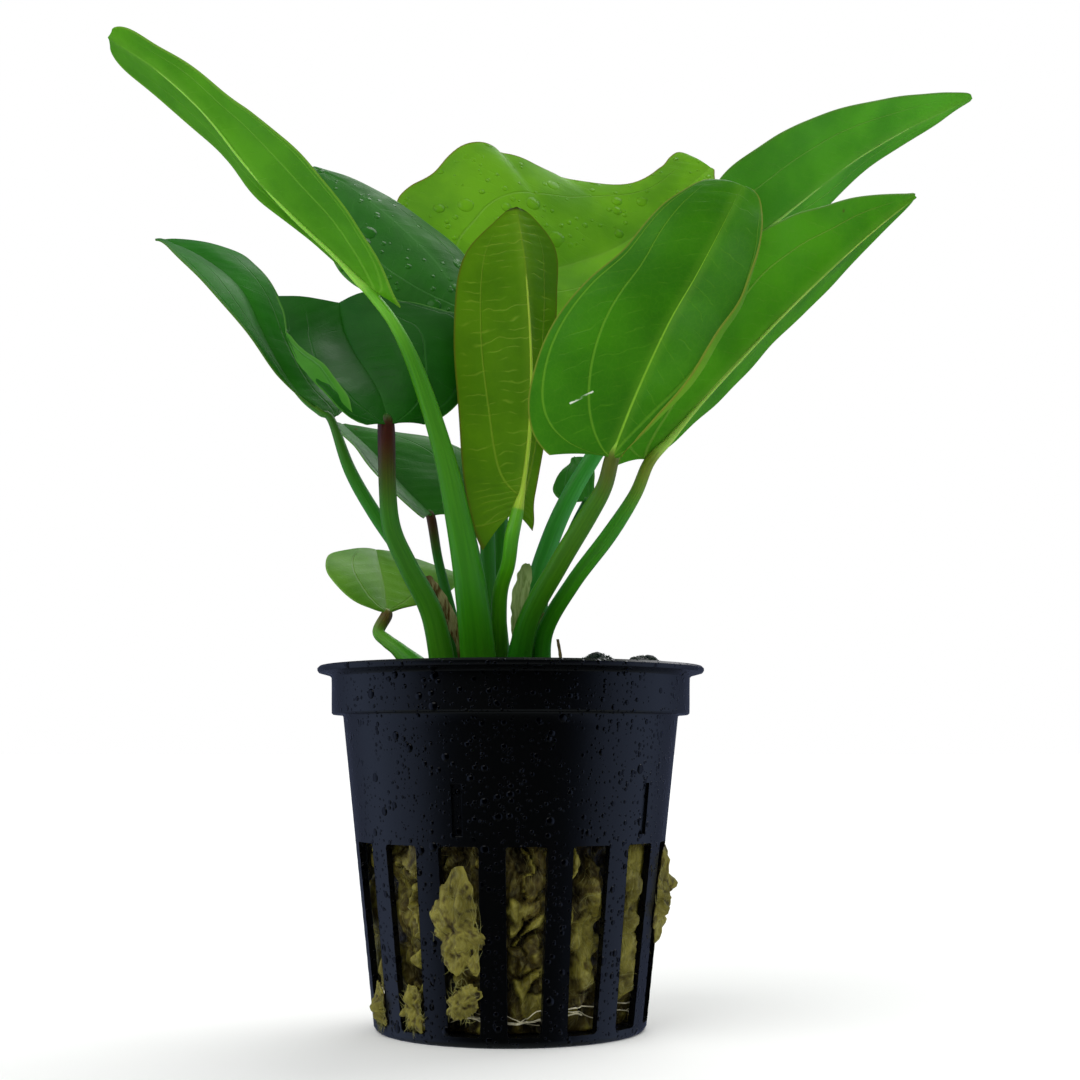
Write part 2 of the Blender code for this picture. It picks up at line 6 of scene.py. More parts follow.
import bpy
import numpy as np
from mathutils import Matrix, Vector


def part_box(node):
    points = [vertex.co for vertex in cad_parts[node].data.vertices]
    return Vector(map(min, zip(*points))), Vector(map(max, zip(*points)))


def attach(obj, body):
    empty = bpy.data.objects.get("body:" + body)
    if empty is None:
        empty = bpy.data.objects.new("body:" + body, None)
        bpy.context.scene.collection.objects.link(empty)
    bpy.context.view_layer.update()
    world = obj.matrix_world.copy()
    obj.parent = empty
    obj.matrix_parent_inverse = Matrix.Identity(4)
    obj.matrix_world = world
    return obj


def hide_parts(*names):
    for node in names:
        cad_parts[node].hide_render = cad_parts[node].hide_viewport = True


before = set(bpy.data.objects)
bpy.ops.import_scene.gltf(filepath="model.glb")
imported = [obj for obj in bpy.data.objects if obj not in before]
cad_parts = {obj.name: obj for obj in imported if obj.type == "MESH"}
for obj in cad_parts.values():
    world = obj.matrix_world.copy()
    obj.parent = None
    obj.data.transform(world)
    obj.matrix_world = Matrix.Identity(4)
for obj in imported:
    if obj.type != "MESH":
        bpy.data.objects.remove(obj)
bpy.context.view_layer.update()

MM = 0.001

# Camera of the photograph
CAMERA_PLACE = (0.00415, -0.260, 0.038)
CAMERA_TILT_DEG = 6.72
CAMERA_LENS_MM = 60.5

# Pot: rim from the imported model, the rest of its turned profile
pot_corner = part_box("net_pot")[1]
RIM_RADIUS = pot_corner.x
RIM_TOP = pot_corner.z
RIM_UNDER = RIM_TOP - 0.0013
COLLAR_RADIUS = 0.0254
COLLAR_BOTTOM = 0.0435
BODY_TOP_RADIUS = 0.0238
BASE_RADIUS = 0.01895
WALL = 0.0009
FLOOR = 0.0012
SLOT_BOTTOM = 0.0014
SLOT_TOP = 0.0260
SLOT_WIDTH_LOW = 0.0045
SLOT_WIDTH_HIGH = 0.0057
SLOT_COUNT = 15
SLOT_PITCH_DEG = 360 / SLOT_COUNT
SLOT_FIRST_DEG = 6.5
SLOT_CORNER = 0.0005
MARK_LOW = 0.0273
MARK_HIGH = 0.0341
MARK_HALF_WIDTH = 0.00068
MARK_DEPTH = 0.00035
MARK_EDGE = 2e-5
MARK_EVERY = 3
WALL_SLOPE = (BODY_TOP_RADIUS - BASE_RADIUS) / COLLAR_BOTTOM

# Rock wool plug and the crown that sits in its hollow
WOOL_LOW = 0.0015
WOOL_TOP = 0.0465
WOOL_SHOULDER = 0.0008
WOOL_OFF_WALL = 0.0004
WOOL_RECESS = 0.0017
WOOL_BULGE = 0.0009
FOLD_RADIUS = 0.0180
# Where it may swell out into a slot: share of the slot's half width, and heights
SWELL_WIDTH = (0.76, 0.94)
SWELL_FOOT = (0.0020, 0.0050)
SWELL_HEAD = (0.0225, 0.0250)
TUFT_NECK = 0.0030
# Fibres and roots: shortest and longest in metres, thinnest and thickest radius in mm
SIDE_FIBRE = (0.0012, 0.0042), (0.018, 0.035)
TOP_FIBRE = (0.002, 0.006), (0.03, 0.06)
FRINGE_FIBRE = (0.0004, 0.0013), (0.03, 0.06)
ROOT_RADIUS = (0.07, 0.17)
# Heights and radii that fibres and roots keep to
SIDE_HEIGHTS = (0.0019, 0.0256)
TOP_RADII = (0.0124, 0.0224)
ROOT_HEIGHTS = (0.0017, 0.0085)
HOLLOW_RADIUS = 0.0123
HOLLOW_FLOOR = 0.0436
CROWN_CENTRE = (-0.0018, 0.0)
CROWN_RADIUS = 0.0098
CROWN_LOW = 0.0440
CROWN_TOP = 0.0462
STALK_FOOT = 0.0455

# Blades: one entry per leaf.
# The values start from the imported solids' and were then fitted further to the photograph: points
# of each outline were read off it by eye, and a separate least squares script worked out half
# widths and lobes from them.
# rib: midrib from base to tip. face: where the upper side looks, at base and tip.
# fold: degrees the left and the right half rise, each one number or (base, tip).
# left, right: half widths from base to tip. lobe, horn: how far each half reaches
# back at the base and forward at the tip. bow: how far each half arches between
# midrib and margin, as a share of its width. roll: each margin turned over, (where
# it starts, where it ends, degrees). wave: margin undulation in mm, how many, and
# where it starts. foot, path, radii: where the stalk stands on the crown, its way
# to the blade and its radii. midrib: the midrib's radius at the base in mm.
# veins: side veins as (share of the half width they tend to, where they leave the
# midrib, how fast). ladder: cross veins as (mm apart, slope, strength). bars, lines,
# core: how pale the cross veins, the side veins and the midrib's line are drawn.
# turned: how far in from the margin, in mm, the colour of painted shade in the crease begins on the
# under side. tip: colour of a dry tip. scar: both ends of a scratch, mm across and along.
# dew: share of the upper side that is beaded. shine: how strong its reflections are.
# glow: share of the light that passes through. stalk: colours at foot, middle, top.
LEAVES = {
    "upper_left": dict(
        rib=((-0.0186, -0.0170, 0.1007), (-0.0253, -0.0186, 0.1071), (-0.0330, -0.0201, 0.1142),
             (-0.0390, -0.0200, 0.1217), (-0.0460, -0.0197, 0.1295), (-0.0557, -0.0180, 0.1368)),
        face=((0.90, 0.31, 0.32), (0.70, 0.65, 0.30)), fold=(14, 21),
        left=(0.0019, 0.0034, 0.0066, 0.0088, 0.0078, 0.0046, 0.0032, 0.0026, 0.0012),
        right=(0.0040, 0.0056, 0.0070, 0.0075, 0.0073, 0.0070, 0.0058, 0.0048, 0.0018),
        lobe=(0.0040, -0.0030), foot=(-0.0044, -0.0035),
        path=((-0.0055, -0.0100, 0.0605), (-0.0071, -0.0130, 0.0699), (-0.0092, -0.0155, 0.0792),
              (-0.0125, -0.0171, 0.0893), (-0.0156, -0.0179, 0.0959)),
        radii=(0.0025, 0.0024, 0.0022, 0.0018, 0.0014, 0.0011, 0.0008, 0.0007),
        bow=(0.05, 0.05), wave=(0.25, 3.0, 0.4), midrib=0.55,
        upper="#3a8317", under="#57a21c", vein="#8cc84a", margin="#7fae3a",
        stalk=("#2e7d0a", "#3a7c0b", "#66ad2a"), glow=0.42),
    "left": dict(
        rib=((-0.0256, -0.0030, 0.0858), (-0.0313, -0.0029, 0.0902), (-0.0357, -0.0013, 0.0975),
             (-0.0397, 0.0016, 0.1055), (-0.0456, 0.0069, 0.1114), (-0.0541, 0.0140, 0.1171)),
        face=((0.53, -0.34, 0.77), (0.38, -0.53, 0.76)), fold=(11, 10),
        left=(0.0006, 0.0006, 0.0007, 0.0033, 0.0081, 0.0094, 0.0071, 0.0034, 0.0006),
        right=(0.0040, 0.0060, 0.0068, 0.0058, 0.0062, 0.0062, 0.0077, 0.0056, 0.0004),
        lobe=(-0.0030, -0.0004), foot=(-0.0076, 0.0010),
        path=((-0.0099, -0.0005, 0.0563), (-0.0146, -0.0020, 0.0648), (-0.0194, -0.0030, 0.0719),
              (-0.0230, -0.0038, 0.0782)),
        radii=(0.0013, 0.0012, 0.0011, 0.0010, 0.0010, 0.0009, 0.0006),
        bow=(0.06, 0.08), wave=(0.30, 2.5, 1.0), midrib=0.45, shine=0.05,
        upper="#237214", under="#3a801e", vein="#3f7a2c", margin="#4f7d2a",
        stalk=("#2b7a18", "#2d7a18", "#356a18"), glow=0.20),
    "left_centre": dict(
        rib=((-0.0167, -0.0140, 0.0829), (-0.0180, -0.0125, 0.0873), (-0.0200, -0.0103, 0.0910),
             (-0.0222, -0.0074, 0.0946), (-0.0241, -0.0043, 0.0987), (-0.0250, -0.0020, 0.1030)),
        face=((0.48, -0.71, 0.52), (0.36, -0.79, 0.50)), fold=((0, -13), (16, 43)),
        left=(0.0034, 0.0064, 0.0084, 0.0093, 0.0093, 0.0087, 0.0083, 0.0088, 0.0090),
        right=(0.0050, 0.0081, 0.0118, 0.0144, 0.0161, 0.0123, 0.0091, 0.0065, 0.0030),
        lobe=(0.0002, 0.0004), horn=(0.0019, 0.0), foot=(-0.0094, -0.0030),
        path=((-0.0110, -0.0060, 0.0573), (-0.0143, -0.0095, 0.0640), (-0.0163, -0.0115, 0.0687),
              (-0.0168, -0.0135, 0.0740)),
        radii=(0.0019, 0.0018, 0.0016, 0.0014, 0.0013, 0.0012, 0.0012),
        bow=(0.08, 0.10), roll=((0.74, 0.80, 150), (0.9, 1.0, 0)), wave=(0.08, 2.0, 2.0), midrib=0.5,
        # The crease colour is painted shade: the dark band where the left margin rolls over.
        turned=2.9, crease_shade="#1c4d10", upper="#135406", under="#3f8423", vein="#2a6a1c", margin="#4f8a2e",
        stalk=("#3b8013", "#317010", "#381205"), glow=0.14),
    "left_back": dict(
        rib=((-0.0118, 0.0060, 0.0729), (-0.0160, 0.0080, 0.0771), (-0.0209, 0.0120, 0.0830),
             (-0.0264, 0.0160, 0.0884)),
        face=((0.52, -0.64, 0.57), (0.51, -0.64, 0.58)), fold=(23, 15),
        left=(0.0048, 0.0060, 0.0067, 0.0065, 0.0068, 0.0060, 0.0043, 0.0025, 0.0006),
        right=(0.0040, 0.0076, 0.0109, 0.0132, 0.0140, 0.0105, 0.0044, 0.0014, 0.0004),
        lobe=(0.0016, 0.0026), foot=(-0.0064, 0.0047),
        path=((-0.0090, 0.0055, 0.0589), (-0.0109, 0.0065, 0.0664)),
        radii=(0.0008, 0.0008, 0.0008, 0.0007, 0.0007),
        bow=(0.06, 0.06), wave=(0.15, 2.0, 0.0), midrib=0.35,
        upper="#2d761f", under="#4a9326", vein="#4a8a3a", margin="#5a9038",
        stalk=("#2f7a1a", "#236a14", "#4a2c16"), glow=0.16),
    "front": dict(
        rib=((0.0008, -0.0102, 0.0712), (0.0020, -0.0106, 0.0766), (0.0029, -0.0110, 0.0864),
             (0.0027, -0.0110, 0.0967), (0.0020, -0.0106, 0.1066), (0.0008, -0.0095, 0.1151)),
        face=((-0.36, 0.93, 0.05), (-0.30, 0.95, 0.05)), fold=(20, 11),
        left=(0.0036, 0.0034, 0.0025, 0.0027, 0.0036, 0.0052, 0.0060, 0.0031, 0.0002),
        right=(0.0034, 0.0054, 0.0075, 0.0094, 0.0106, 0.0103, 0.0081, 0.0032, 0.0002),
        lobe=(0.0018, 0.0061), foot=(-0.0017, 0.0001),
        path=((-0.0016, -0.0062, 0.0594), (-0.0003, -0.0105, 0.0640), (0.0002, -0.0119, 0.0675)),
        radii=(0.0013, 0.0013, 0.0011, 0.0010, 0.0010, 0.0009),
        bow=(0.05, 0.08), wave=(0.12, 3.0, 0.0), midrib=0.6,
        veins=((0.66, 0.2, 0.11), (-0.60, 0.15, 0.15)), ladder=(1.3, 0.05, 1.0), bars=0.42, tip="#3a3608",
        upper="#497f06", under="#5b9109", vein="#9cbb38", margin="#6a7218",
        stalk=("#3a8410", "#428e0c", "#55991a"), glow=0.42),
    "back_left": dict(
        rib=((-0.0051, 0.0060, 0.1037), (-0.0088, 0.0070, 0.1078), (-0.0127, 0.0090, 0.1132),
             (-0.0193, 0.0120, 0.1202), (-0.0258, 0.0150, 0.1259), (-0.0317, 0.0180, 0.1300)),
        face=((0.28, -0.86, 0.42), (0.29, -0.85, 0.44)), fold=(-8, -17),
        left=(0.0027, 0.0046, 0.0066, 0.0112, 0.0131, 0.0092, 0.0058, 0.0026, 0.0004),
        right=(0.0032, 0.0046, 0.0058, 0.0066, 0.0069, 0.0051, 0.0024, 0.0012, 0.0004),
        lobe=(-0.0024, 0.0002), foot=(-0.0039, 0.0032),
        path=((-0.0034, 0.0040, 0.0603), (-0.0036, 0.0045, 0.0684), (-0.0041, 0.0055, 0.0827)),
        radii=(0.0012, 0.0012, 0.0011, 0.0011, 0.0010, 0.0009),
        bow=(0.06, 0.05), wave=(0.20, 2.0, 1.5), midrib=0.35, dew=1.0,
        upper="#296b1c", under="#4a8c28", vein="#4a8a3c", margin="#4f8f30",
        stalk=("#2b7518", "#257014", "#3a8018"), glow=0.14),
    "back": dict(
        rib=((-0.0071, 0.0180, 0.1093), (0.0010, 0.0210, 0.1131), (0.0098, 0.0250, 0.1163),
             (0.0189, 0.0290, 0.1214), (0.0274, 0.0330, 0.1303), (0.0328, 0.0360, 0.1359)),
        face=((-0.10, -0.98, 0.17), (-0.14, -0.96, 0.24)), fold=(1, 14),
        left=(0.0180, 0.0204, 0.0218, 0.0227, 0.0260, 0.0248, 0.0203, 0.0164, 0.0075, 0.0062,
              0.0066, 0.0061, 0.0034),
        right=(0.0046, 0.0077, 0.0106, 0.0112, 0.0100, 0.0081, 0.0051, 0.0020, 0.0006),
        lobe=(0.0035, -0.0030), foot=(-0.0010, 0.0043),
        path=((-0.0021, 0.0085, 0.0607), (-0.0019, 0.0125, 0.0762), (-0.0039, 0.0155, 0.0922)),
        radii=(0.0012, 0.0012, 0.0011, 0.0011, 0.0010, 0.0009),
        bow=(0.05, 0.05), wave=(0.15, 2.5, 0.6), midrib=0.4, dew=0.8,
        veins=((-0.62, 0.0, 0.16), (0.60, 0.0, 0.2)),
        upper="#71ad24", under="#77b22c", vein="#8cba4c", margin="#8a7a30",
        stalk=("#2b7518", "#257014", "#3a8018"), glow=0.45),
    "right_front": dict(
        rib=((0.0136, -0.0220, 0.0770), (0.0169, -0.0234, 0.0853), (0.0212, -0.0241, 0.0946),
             (0.0251, -0.0227, 0.1016), (0.0293, -0.0198, 0.1099), (0.0320, -0.0170, 0.1158)),
        face=((-0.14, -0.98, 0.13), (-0.13, -0.98, 0.17)), fold=(6, 11),
        left=(0.0078, 0.0114, 0.0137, 0.0140, 0.0111, 0.0097, 0.0072, 0.0050, 0.0016),
        right=(0.0012, 0.0020, 0.0042, 0.0073, 0.0080, 0.0069, 0.0047, 0.0030, 0.0010),
        lobe=(0.0026, -0.0008), foot=(0.0007, -0.0040),
        path=((0.0025, -0.0080, 0.0565), (0.0066, -0.0130, 0.0637), (0.0106, -0.0170, 0.0700),
              (0.0127, -0.0195, 0.0735)),
        radii=(0.0018, 0.0018, 0.0015, 0.0014, 0.0013, 0.0011, 0.0010),
        bow=(0.10, 0.05), roll=((0.9, 1.0, 0), (0.80, 0.92, 110)), wave=(0.25, 2.5, 0.5), midrib=0.75,
        scar=((-7.5, 5.3), (-5.3, 7.3)),
        veins=((-0.92, 0.02, 0.40), (-0.93, 0.0, 0.09), (0.95, 0.02, 0.25)),
        upper="#367c04", under="#609c1d", vein="#8cc436", margin="#7f8a2a", core=0.95, lines=0.30,
        stalk=("#1b6a0a", "#3a6e0b", "#4f5c18"), glow=0.26),
    "right": dict(
        rib=((0.0188, -0.0150, 0.0778), (0.0275, -0.0150, 0.0874), (0.0358, -0.0130, 0.0965),
             (0.0438, -0.0110, 0.1046), (0.0518, -0.0080, 0.1122), (0.0583, -0.0060, 0.1177)),
        face=((-0.60, 0.57, 0.56), (-0.54, 0.55, 0.64)), fold=(28, 20),
        left=(0.0017, 0.0049, 0.0081, 0.0106, 0.0116, 0.0105, 0.0079, 0.0044, 0.0004),
        right=(0.0030, 0.0046, 0.0066, 0.0100, 0.0124, 0.0083, 0.0043, 0.0015, 0.0004),
        lobe=(-0.0013, 0.0034), foot=(0.0043, -0.0027),
        path=((0.0048, -0.0045, 0.0551), (0.0087, -0.0090, 0.0616), (0.0136, -0.0120, 0.0679),
              (0.0171, -0.0140, 0.0732)),
        radii=(0.0014, 0.0014, 0.0012, 0.0011, 0.0011, 0.0009, 0.0008),
        bow=(0.06, 0.06), wave=(0.20, 2.5, 0.0), midrib=0.5, dew=0.3,
        veins=((0.55, 0.0, 0.14), (-0.55, 0.0, 0.14)),
        upper="#448f08", under="#4a9b09", vein="#8fb848", margin="#5f9030", core=0.80,
        stalk=("#1f7409", "#358410", "#6a7f20"), glow=0.34),
    "upper_right": dict(
        rib=((0.0286, 0.0120, 0.1104), (0.0342, 0.0132, 0.1149), (0.0404, 0.0144, 0.1198),
             (0.0484, 0.0161, 0.1266), (0.0586, 0.0193, 0.1347), (0.0744, 0.0250, 0.1440)),
        face=((-0.53, 0.60, 0.60), (-0.48, 0.53, 0.70)), fold=(14, 15),
        left=(0.0022, 0.0032, 0.0040, 0.0048, 0.0059, 0.0063, 0.0039, 0.0014, 0.0004),
        right=(0.0029, 0.0065, 0.0101, 0.0121, 0.0123, 0.0097, 0.0058, 0.0023, 0.0004),
        lobe=(-0.0006, 0.0), foot=(0.0019, 0.0019),
        path=((0.0030, 0.0030, 0.0602), (0.0056, 0.0050, 0.0692), (0.0090, 0.0070, 0.0769),
              (0.0141, 0.0090, 0.0856), (0.0217, 0.0110, 0.0991)),
        radii=(0.0015, 0.0015, 0.0014, 0.0014, 0.0013, 0.0012, 0.0011, 0.0008),
        bow=(0.06, 0.06), wave=(0.25, 3.0, 0.0), midrib=0.5, dew=0.3,
        veins=((0.58, 0.0, 0.2), (-0.6, 0.0, 0.2)), ladder=(1.6, 0.9, 0.5),
        upper="#43901c", under="#50a41f", vein="#86ba50", margin="#5f9030",
        stalk=("#267c24", "#36902e", "#3a8a28"), glow=0.34),
    "small_back": dict(
        rib=((0.0111, 0.0160, 0.0765), (0.0103, 0.0180, 0.0803), (0.0095, 0.0210, 0.0842)),
        face=((0.07, -0.94, 0.32), (0.08, -0.94, 0.33)), fold=(5, 3),
        left=(0.0024, 0.0034, 0.0043, 0.0046, 0.0038, 0.0025, 0.0010, 0.0006, 0.0003),
        right=(0.0017, 0.0018, 0.0018, 0.0020, 0.0024, 0.0026, 0.0025, 0.0018, 0.0006),
        lobe=(-0.0001, -0.0009), foot=(0.0045, 0.0050),
        path=((0.0050, 0.0100, 0.0623), (0.0091, 0.0172, 0.0724)),
        radii=(0.0007, 0.0007, 0.0006, 0.0006, 0.0005),
        bow=(0.05, 0.05), wave=(0.05, 2.0, 0.0), midrib=0.2,
        upper="#206c0e", under="#3f8a18", vein="#3a7a28", margin="#3f7f28",
        stalk=("#226f16", "#1b6414", "#1b6414"), glow=0.12),
    "small_left": dict(
        rib=((-0.0185, 0.0080, 0.0587), (-0.0193, 0.0120, 0.0625), (-0.0203, 0.0160, 0.0659),
             (-0.0214, 0.0210, 0.0694)),
        face=((0.17, -0.57, 0.81), (0.18, -0.56, 0.81)), fold=(11, 5),
        left=(0.0009, 0.0051, 0.0078, 0.0090, 0.0078, 0.0039, 0.0004),
        right=(0.0009, 0.0051, 0.0094, 0.0120, 0.0082, 0.0037, 0.0004),
        lobe=(-0.0001, -0.0013), foot=(-0.0124, 0.0058),
        path=((-0.0163, 0.0063, 0.0528), (-0.0183, 0.0070, 0.0544), (-0.0197, 0.0075, 0.0559)),
        radii=(0.0026, 0.0023, 0.0012, 0.0010, 0.0009, 0.0009),
        bow=(0.06, 0.06), wave=(0.12, 2.0, 0.0), midrib=0.3,
        veins=((-0.55, 0.0, 0.16), (0.55, 0.0, 0.16)),
        upper="#619a2c", under="#6ea22e", vein="#8ab058", margin="#7fae4a",
        stalk=("#378f1c", "#589a28", "#5a4a1c"), glow=0.22),
}
# Side veins and cross veins of a leaf that has none of its own, and where a vein that
# a leaf doesn't have is put, in mm
LADDER = (2.4, 0.7, 0.45)
NO_VEIN = 9.0
SIDE_VEINS = ((-0.62, 0.0, 0.18), (0.62, 0.0, 0.18), (-0.93, 0.0, 0.09), (0.93, 0.0, 0.09))

# Dried sheaths between the stalks: middle line, facing, half widths, two colours
SHEATHS = {
    "sheath_left": dict(
        rib=((-0.0069, -0.0011, 0.0470), (-0.0070, -0.0018, 0.0526), (-0.0087, -0.0023, 0.0569),
             (-0.0105, -0.0028, 0.0604), (-0.0120, -0.0030, 0.0631)),
        face=((0.3, -0.9, 0.2), (0.3, -0.9, 0.2)),
        width=(0.0004, 0.0004, 0.0007, 0.0011, 0.0010, 0.0007, 0.0003), dry=("#b0a878", "#6b5020")),
    "sheath_middle": dict(
        rib=((0.0009, -0.0008, 0.0470), (0.0009, -0.0017, 0.0569), (0.0015, -0.0019, 0.0612),
             (0.0024, -0.0015, 0.0650)),
        face=((0.0, -1.0, 0.1), (0.0, -1.0, 0.1)),
        width=(0.0005, 0.0006, 0.0008, 0.0011, 0.0012, 0.0008, 0.0003), dry=("#b6c888", "#8ba25e")),
    "sheath_right": dict(
        rib=((0.0025, -0.0006, 0.0470), (0.0033, -0.0011, 0.0541), (0.0046, -0.0015, 0.0566),
             (0.0057, -0.0018, 0.0583)),
        face=((0.0, -1.0, 0.1), (0.0, -1.0, 0.1)),
        width=(0.0005, 0.0007, 0.0008, 0.0009, 0.0008, 0.0006, 0.0003), dry=("#a8a078", "#6b4a2a")),
}

# Wool outside the wall: slot angle, height, outline radii in mm counted round from
# the right-hand side upwards, and how far it stands out in mm
TUFTS = (
    (-18.4, 0.0152, (2.6, 2.8, 3.5, 5.6, 8.0, 5.6, 4.4, 4.1, 3.5, 3.0, 3.3, 4.3, 6.0, 5.8, 3.9, 4.0), 1.4),
    (-17.4, 0.0058, (2.3, 2.9, 3.0, 2.4, 2.2, 2.0, 1.8, 1.9, 2.1, 2.3, 2.5, 2.4, 2.0, 1.8, 1.8, 2.0), 0.8),
    (78.5, 0.0190, (2.2, 2.6, 3.6, 5.0, 6.2, 4.8, 3.4, 2.4, 2.0, 2.4, 3.4, 5.2, 6.4, 5.0, 3.2, 2.4), 1.6),
    (-39.9, 0.0046, (1.3, 1.5, 2.1, 3.0, 3.4, 2.4, 1.8, 1.5, 1.5, 2.9, 1.8, 3.2, 2.3, 3.1, 2.2, 1.5), 0.9),
    (-62.3, 0.0036, (1.1, 1.2, 1.6, 2.8, 3.6, 2.4, 1.5, 1.2, 1.2, 1.3, 1.6, 2.0, 1.8, 2.1, 1.9, 1.3), 0.6),
)
# Folds of the wool in the slots that face the front: angle, height, half width and
# half height in mm, tilt to the left in degrees, stand in mm, darkness from 0 to 1.
# Places and sizes were read off the photograph by eye, and a separate script turned
# them into degrees and mm for most rows.
FOLDS = (
    (-67.8, 22.7, 2.2, 4.4, 0, 1.6, 0.15), (-75.2, 6.4, 3.5, 5.9, -8, 1.6, 0.25),
    (-70.9, 2.4, 3.2, 1.4, 0, 2, 0),
    (-48.3, 19.5, 1.3, 6.5, 0, 1.5, 0.3), (-42.7, 24.2, 1.9, 1.6, 0, 1.2, 0.35),
    (-37.5, 18.8, 0.7, 7.5, 0, 1.9, 0.15), (-38.2, 9.9, 0.7, 6.6, -4, 2.2, 0.1),
    (-43.9, 4.2, 2.6, 3, 0, 2.2, 0),
    (-11.6, 24.1, 1.1, 2, 0, 1.6, 0.25), (-23.1, 24.7, 0.9, 2.1, 0, 1.2, 0.4),
    (-17.6, 8.7, 2.4, 3.4, 0, 1.5, 0.35),
    (6.1, 24, 0.3, 3.1, 24, 2.4, 0), (12, 23, 1.2, 3.1, -6, 1.4, 0.45),
    (8.1, 18.6, 2.2, 2, 20, 1.5, 0.3), (3.3, 17.1, 1, 1.7, 0, 2, 0.05),
    (9.4, 15.6, 0.4, 2, -45, 2.3, 0), (11.5, 12.6, 1.1, 3.4, -20, 1.6, 0.3),
    (9.8, 8.3, 1.1, 2.6, -50, 1.9, 0.1), (4.7, 6.6, 1.5, 2.6, 40, 2, 0.08),
    (10.9, 4.6, 1.6, 2.2, 0, 1.9, 0.08), (3.4, 12, 0.9, 2.9, 10, 1.3, 0.4),
    (26.3, 23, 0.7, 4.5, 4, 2.1, 0.1), (35.7, 21.7, 1.3, 3.4, 5, 1.3, 0.4),
    (32.8, 13.7, 2.7, 3.4, 0, 2, 0.05), (38.7, 17.2, 1.1, 3.5, 0, 2.1, 0.08),
    (32.4, 9.1, 2.3, 2.4, 20, 1.7, 0.2), (31.1, 5.9, 1.9, 1.3, 0, 1.2, 0.5),
    (60.7, 21.8, 3.9, 4.5, 0, 2.4, 0.05), (63.1, 16.6, 3.9, 3.1, 0, 2.3, 0.1),
    (61.9, 11.3, 3.4, 4, 8, 2.5, 0), (59.1, 7, 2.4, 2.2, 0, 1.8, 0.25),
)

# Moss lumps: centre and half sizes
MOSS = {
    "moss_left": ((0.0121, -0.0100, 0.0494), (0.0032, 0.0026, 0.0026)),
    "moss_right": ((0.0185, -0.0080, 0.0494), (0.0032, 0.0024, 0.0024)),
}
SPROUT_PATH = ((0.0066, -0.0080, 0.0445), (0.0067, -0.0080, 0.0480), (0.0070, -0.0081, 0.0510),
               (0.0066, -0.0082, 0.0538))

BLADE_THICK_MM = 0.38
MARGIN_THICK_MM = 0.20
BLADE_ROWS = 121
HALF_COLUMNS = 26
STALK_RINGS = 120
STALK_SIDES = 20


# Shapes as whole arrays

def through(points, u):
    """Catmull-Rom curve: cubic through evenly spaced points, each tangent half the
    chord between the neighbours. u runs from 0 to the last index."""
    p = np.asarray(points, float)
    if p.ndim == 1:
        return through(p[:, None], u)[..., 0]
    u = np.asarray(u, float)
    q = np.vstack([2 * p[0] - p[1], p, 2 * p[-1] - p[-2]])
    i = np.clip(u.astype(int), 0, len(p) - 2)
    f = (u - i)[..., None]
    a, b, c, d = q[i], q[i + 1], q[i + 2], q[i + 3]
    return 0.5 * (2 * b + (c - a) * f + (2 * a - 5 * b + 4 * c - d) * f ** 2
                  + (3 * b - a - 3 * c + d) * f ** 3)


def unit(vectors):
    """Each vector divided by its length."""
    v = np.asarray(vectors, float)
    return v / np.maximum(np.linalg.norm(v, axis=-1, keepdims=True), 1e-12)


def turns(count):
    """Angles of that many points evenly round a circle."""
    return np.arange(count) * 2 * np.pi / count


def ease(low, high, x):
    """Smooth step: 0 below low, 1 above high, 3x squared minus 2x cubed between."""
    x = np.clip((x - low) / (high - low), 0.0, 1.0)
    return x * x * (3 - 2 * x)


def field(points, size, seed, waves=24):
    """Smooth random field of about unit spread: cosines of plane waves in random
    directions, with wavelengths round the given size, summed."""
    rng = np.random.default_rng(seed)
    turn = unit(rng.normal(size=(waves, 3)))
    pitch = 2 * np.pi / size * rng.uniform(0.6, 1.4, (waves, 1))
    phase = rng.uniform(0, 2 * np.pi, waves)
    return math.sqrt(2 / waves) * np.cos(points @ (turn * pitch).T + phase).sum(-1)


def round_axis(radius, angle, z):
    """Points at a radius and height round the pot's axis, the angle counted from the
    front (-Y) towards +X."""
    return np.stack(np.broadcast_arrays(radius * np.sin(angle), -radius * np.cos(angle), z), -1)


def merge(*parts):
    """Several meshes as one, each a dict of points, quads, tris and fields."""
    starts = np.cumsum([0] + [len(p["points"]) for p in parts])
    names = parts[0]["fields"]
    return dict(
        points=np.concatenate([p["points"] for p in parts]),
        quads=np.concatenate([p["quads"] + s for p, s in zip(parts, starts)]),
        tris=np.concatenate([p["tris"] + s for p, s in zip(parts, starts)]),
        fields={n: np.concatenate([p["fields"][n] for p in parts]) for n in names})


def rings_skin(rings, **fields):
    """Closed skin over rings of points (rows by columns), with a pole at each end."""
    rows, cols = rings.shape[:2]
    c = np.arange(cols)
    n = (c + 1) % cols
    r = np.arange(rows - 1)[:, None] * cols
    end = (rows - 1) * cols
    quads = np.stack(np.broadcast_arrays(r + c, r + n, r + cols + n, r + cols + c), -1)
    tris = np.concatenate([np.stack([np.full(cols, rows * cols), n, c], -1),
                           np.stack([end + c, end + n, np.full(cols, rows * cols + 1)], -1)])
    points = np.concatenate([rings.reshape(-1, 3), rings[:1].mean(1), rings[-1:].mean(1)])
    flat = {}
    for name, values in fields.items():
        values = np.broadcast_to(values, (rows, cols) + np.shape(values)[2:])
        flat[name] = np.concatenate([values.reshape((rows * cols,) + values.shape[2:]),
                                     values[:1].mean(1), values[-1:].mean(1)])
    return dict(points=points, quads=quads.reshape(-1, 4), tris=tris, fields=flat)


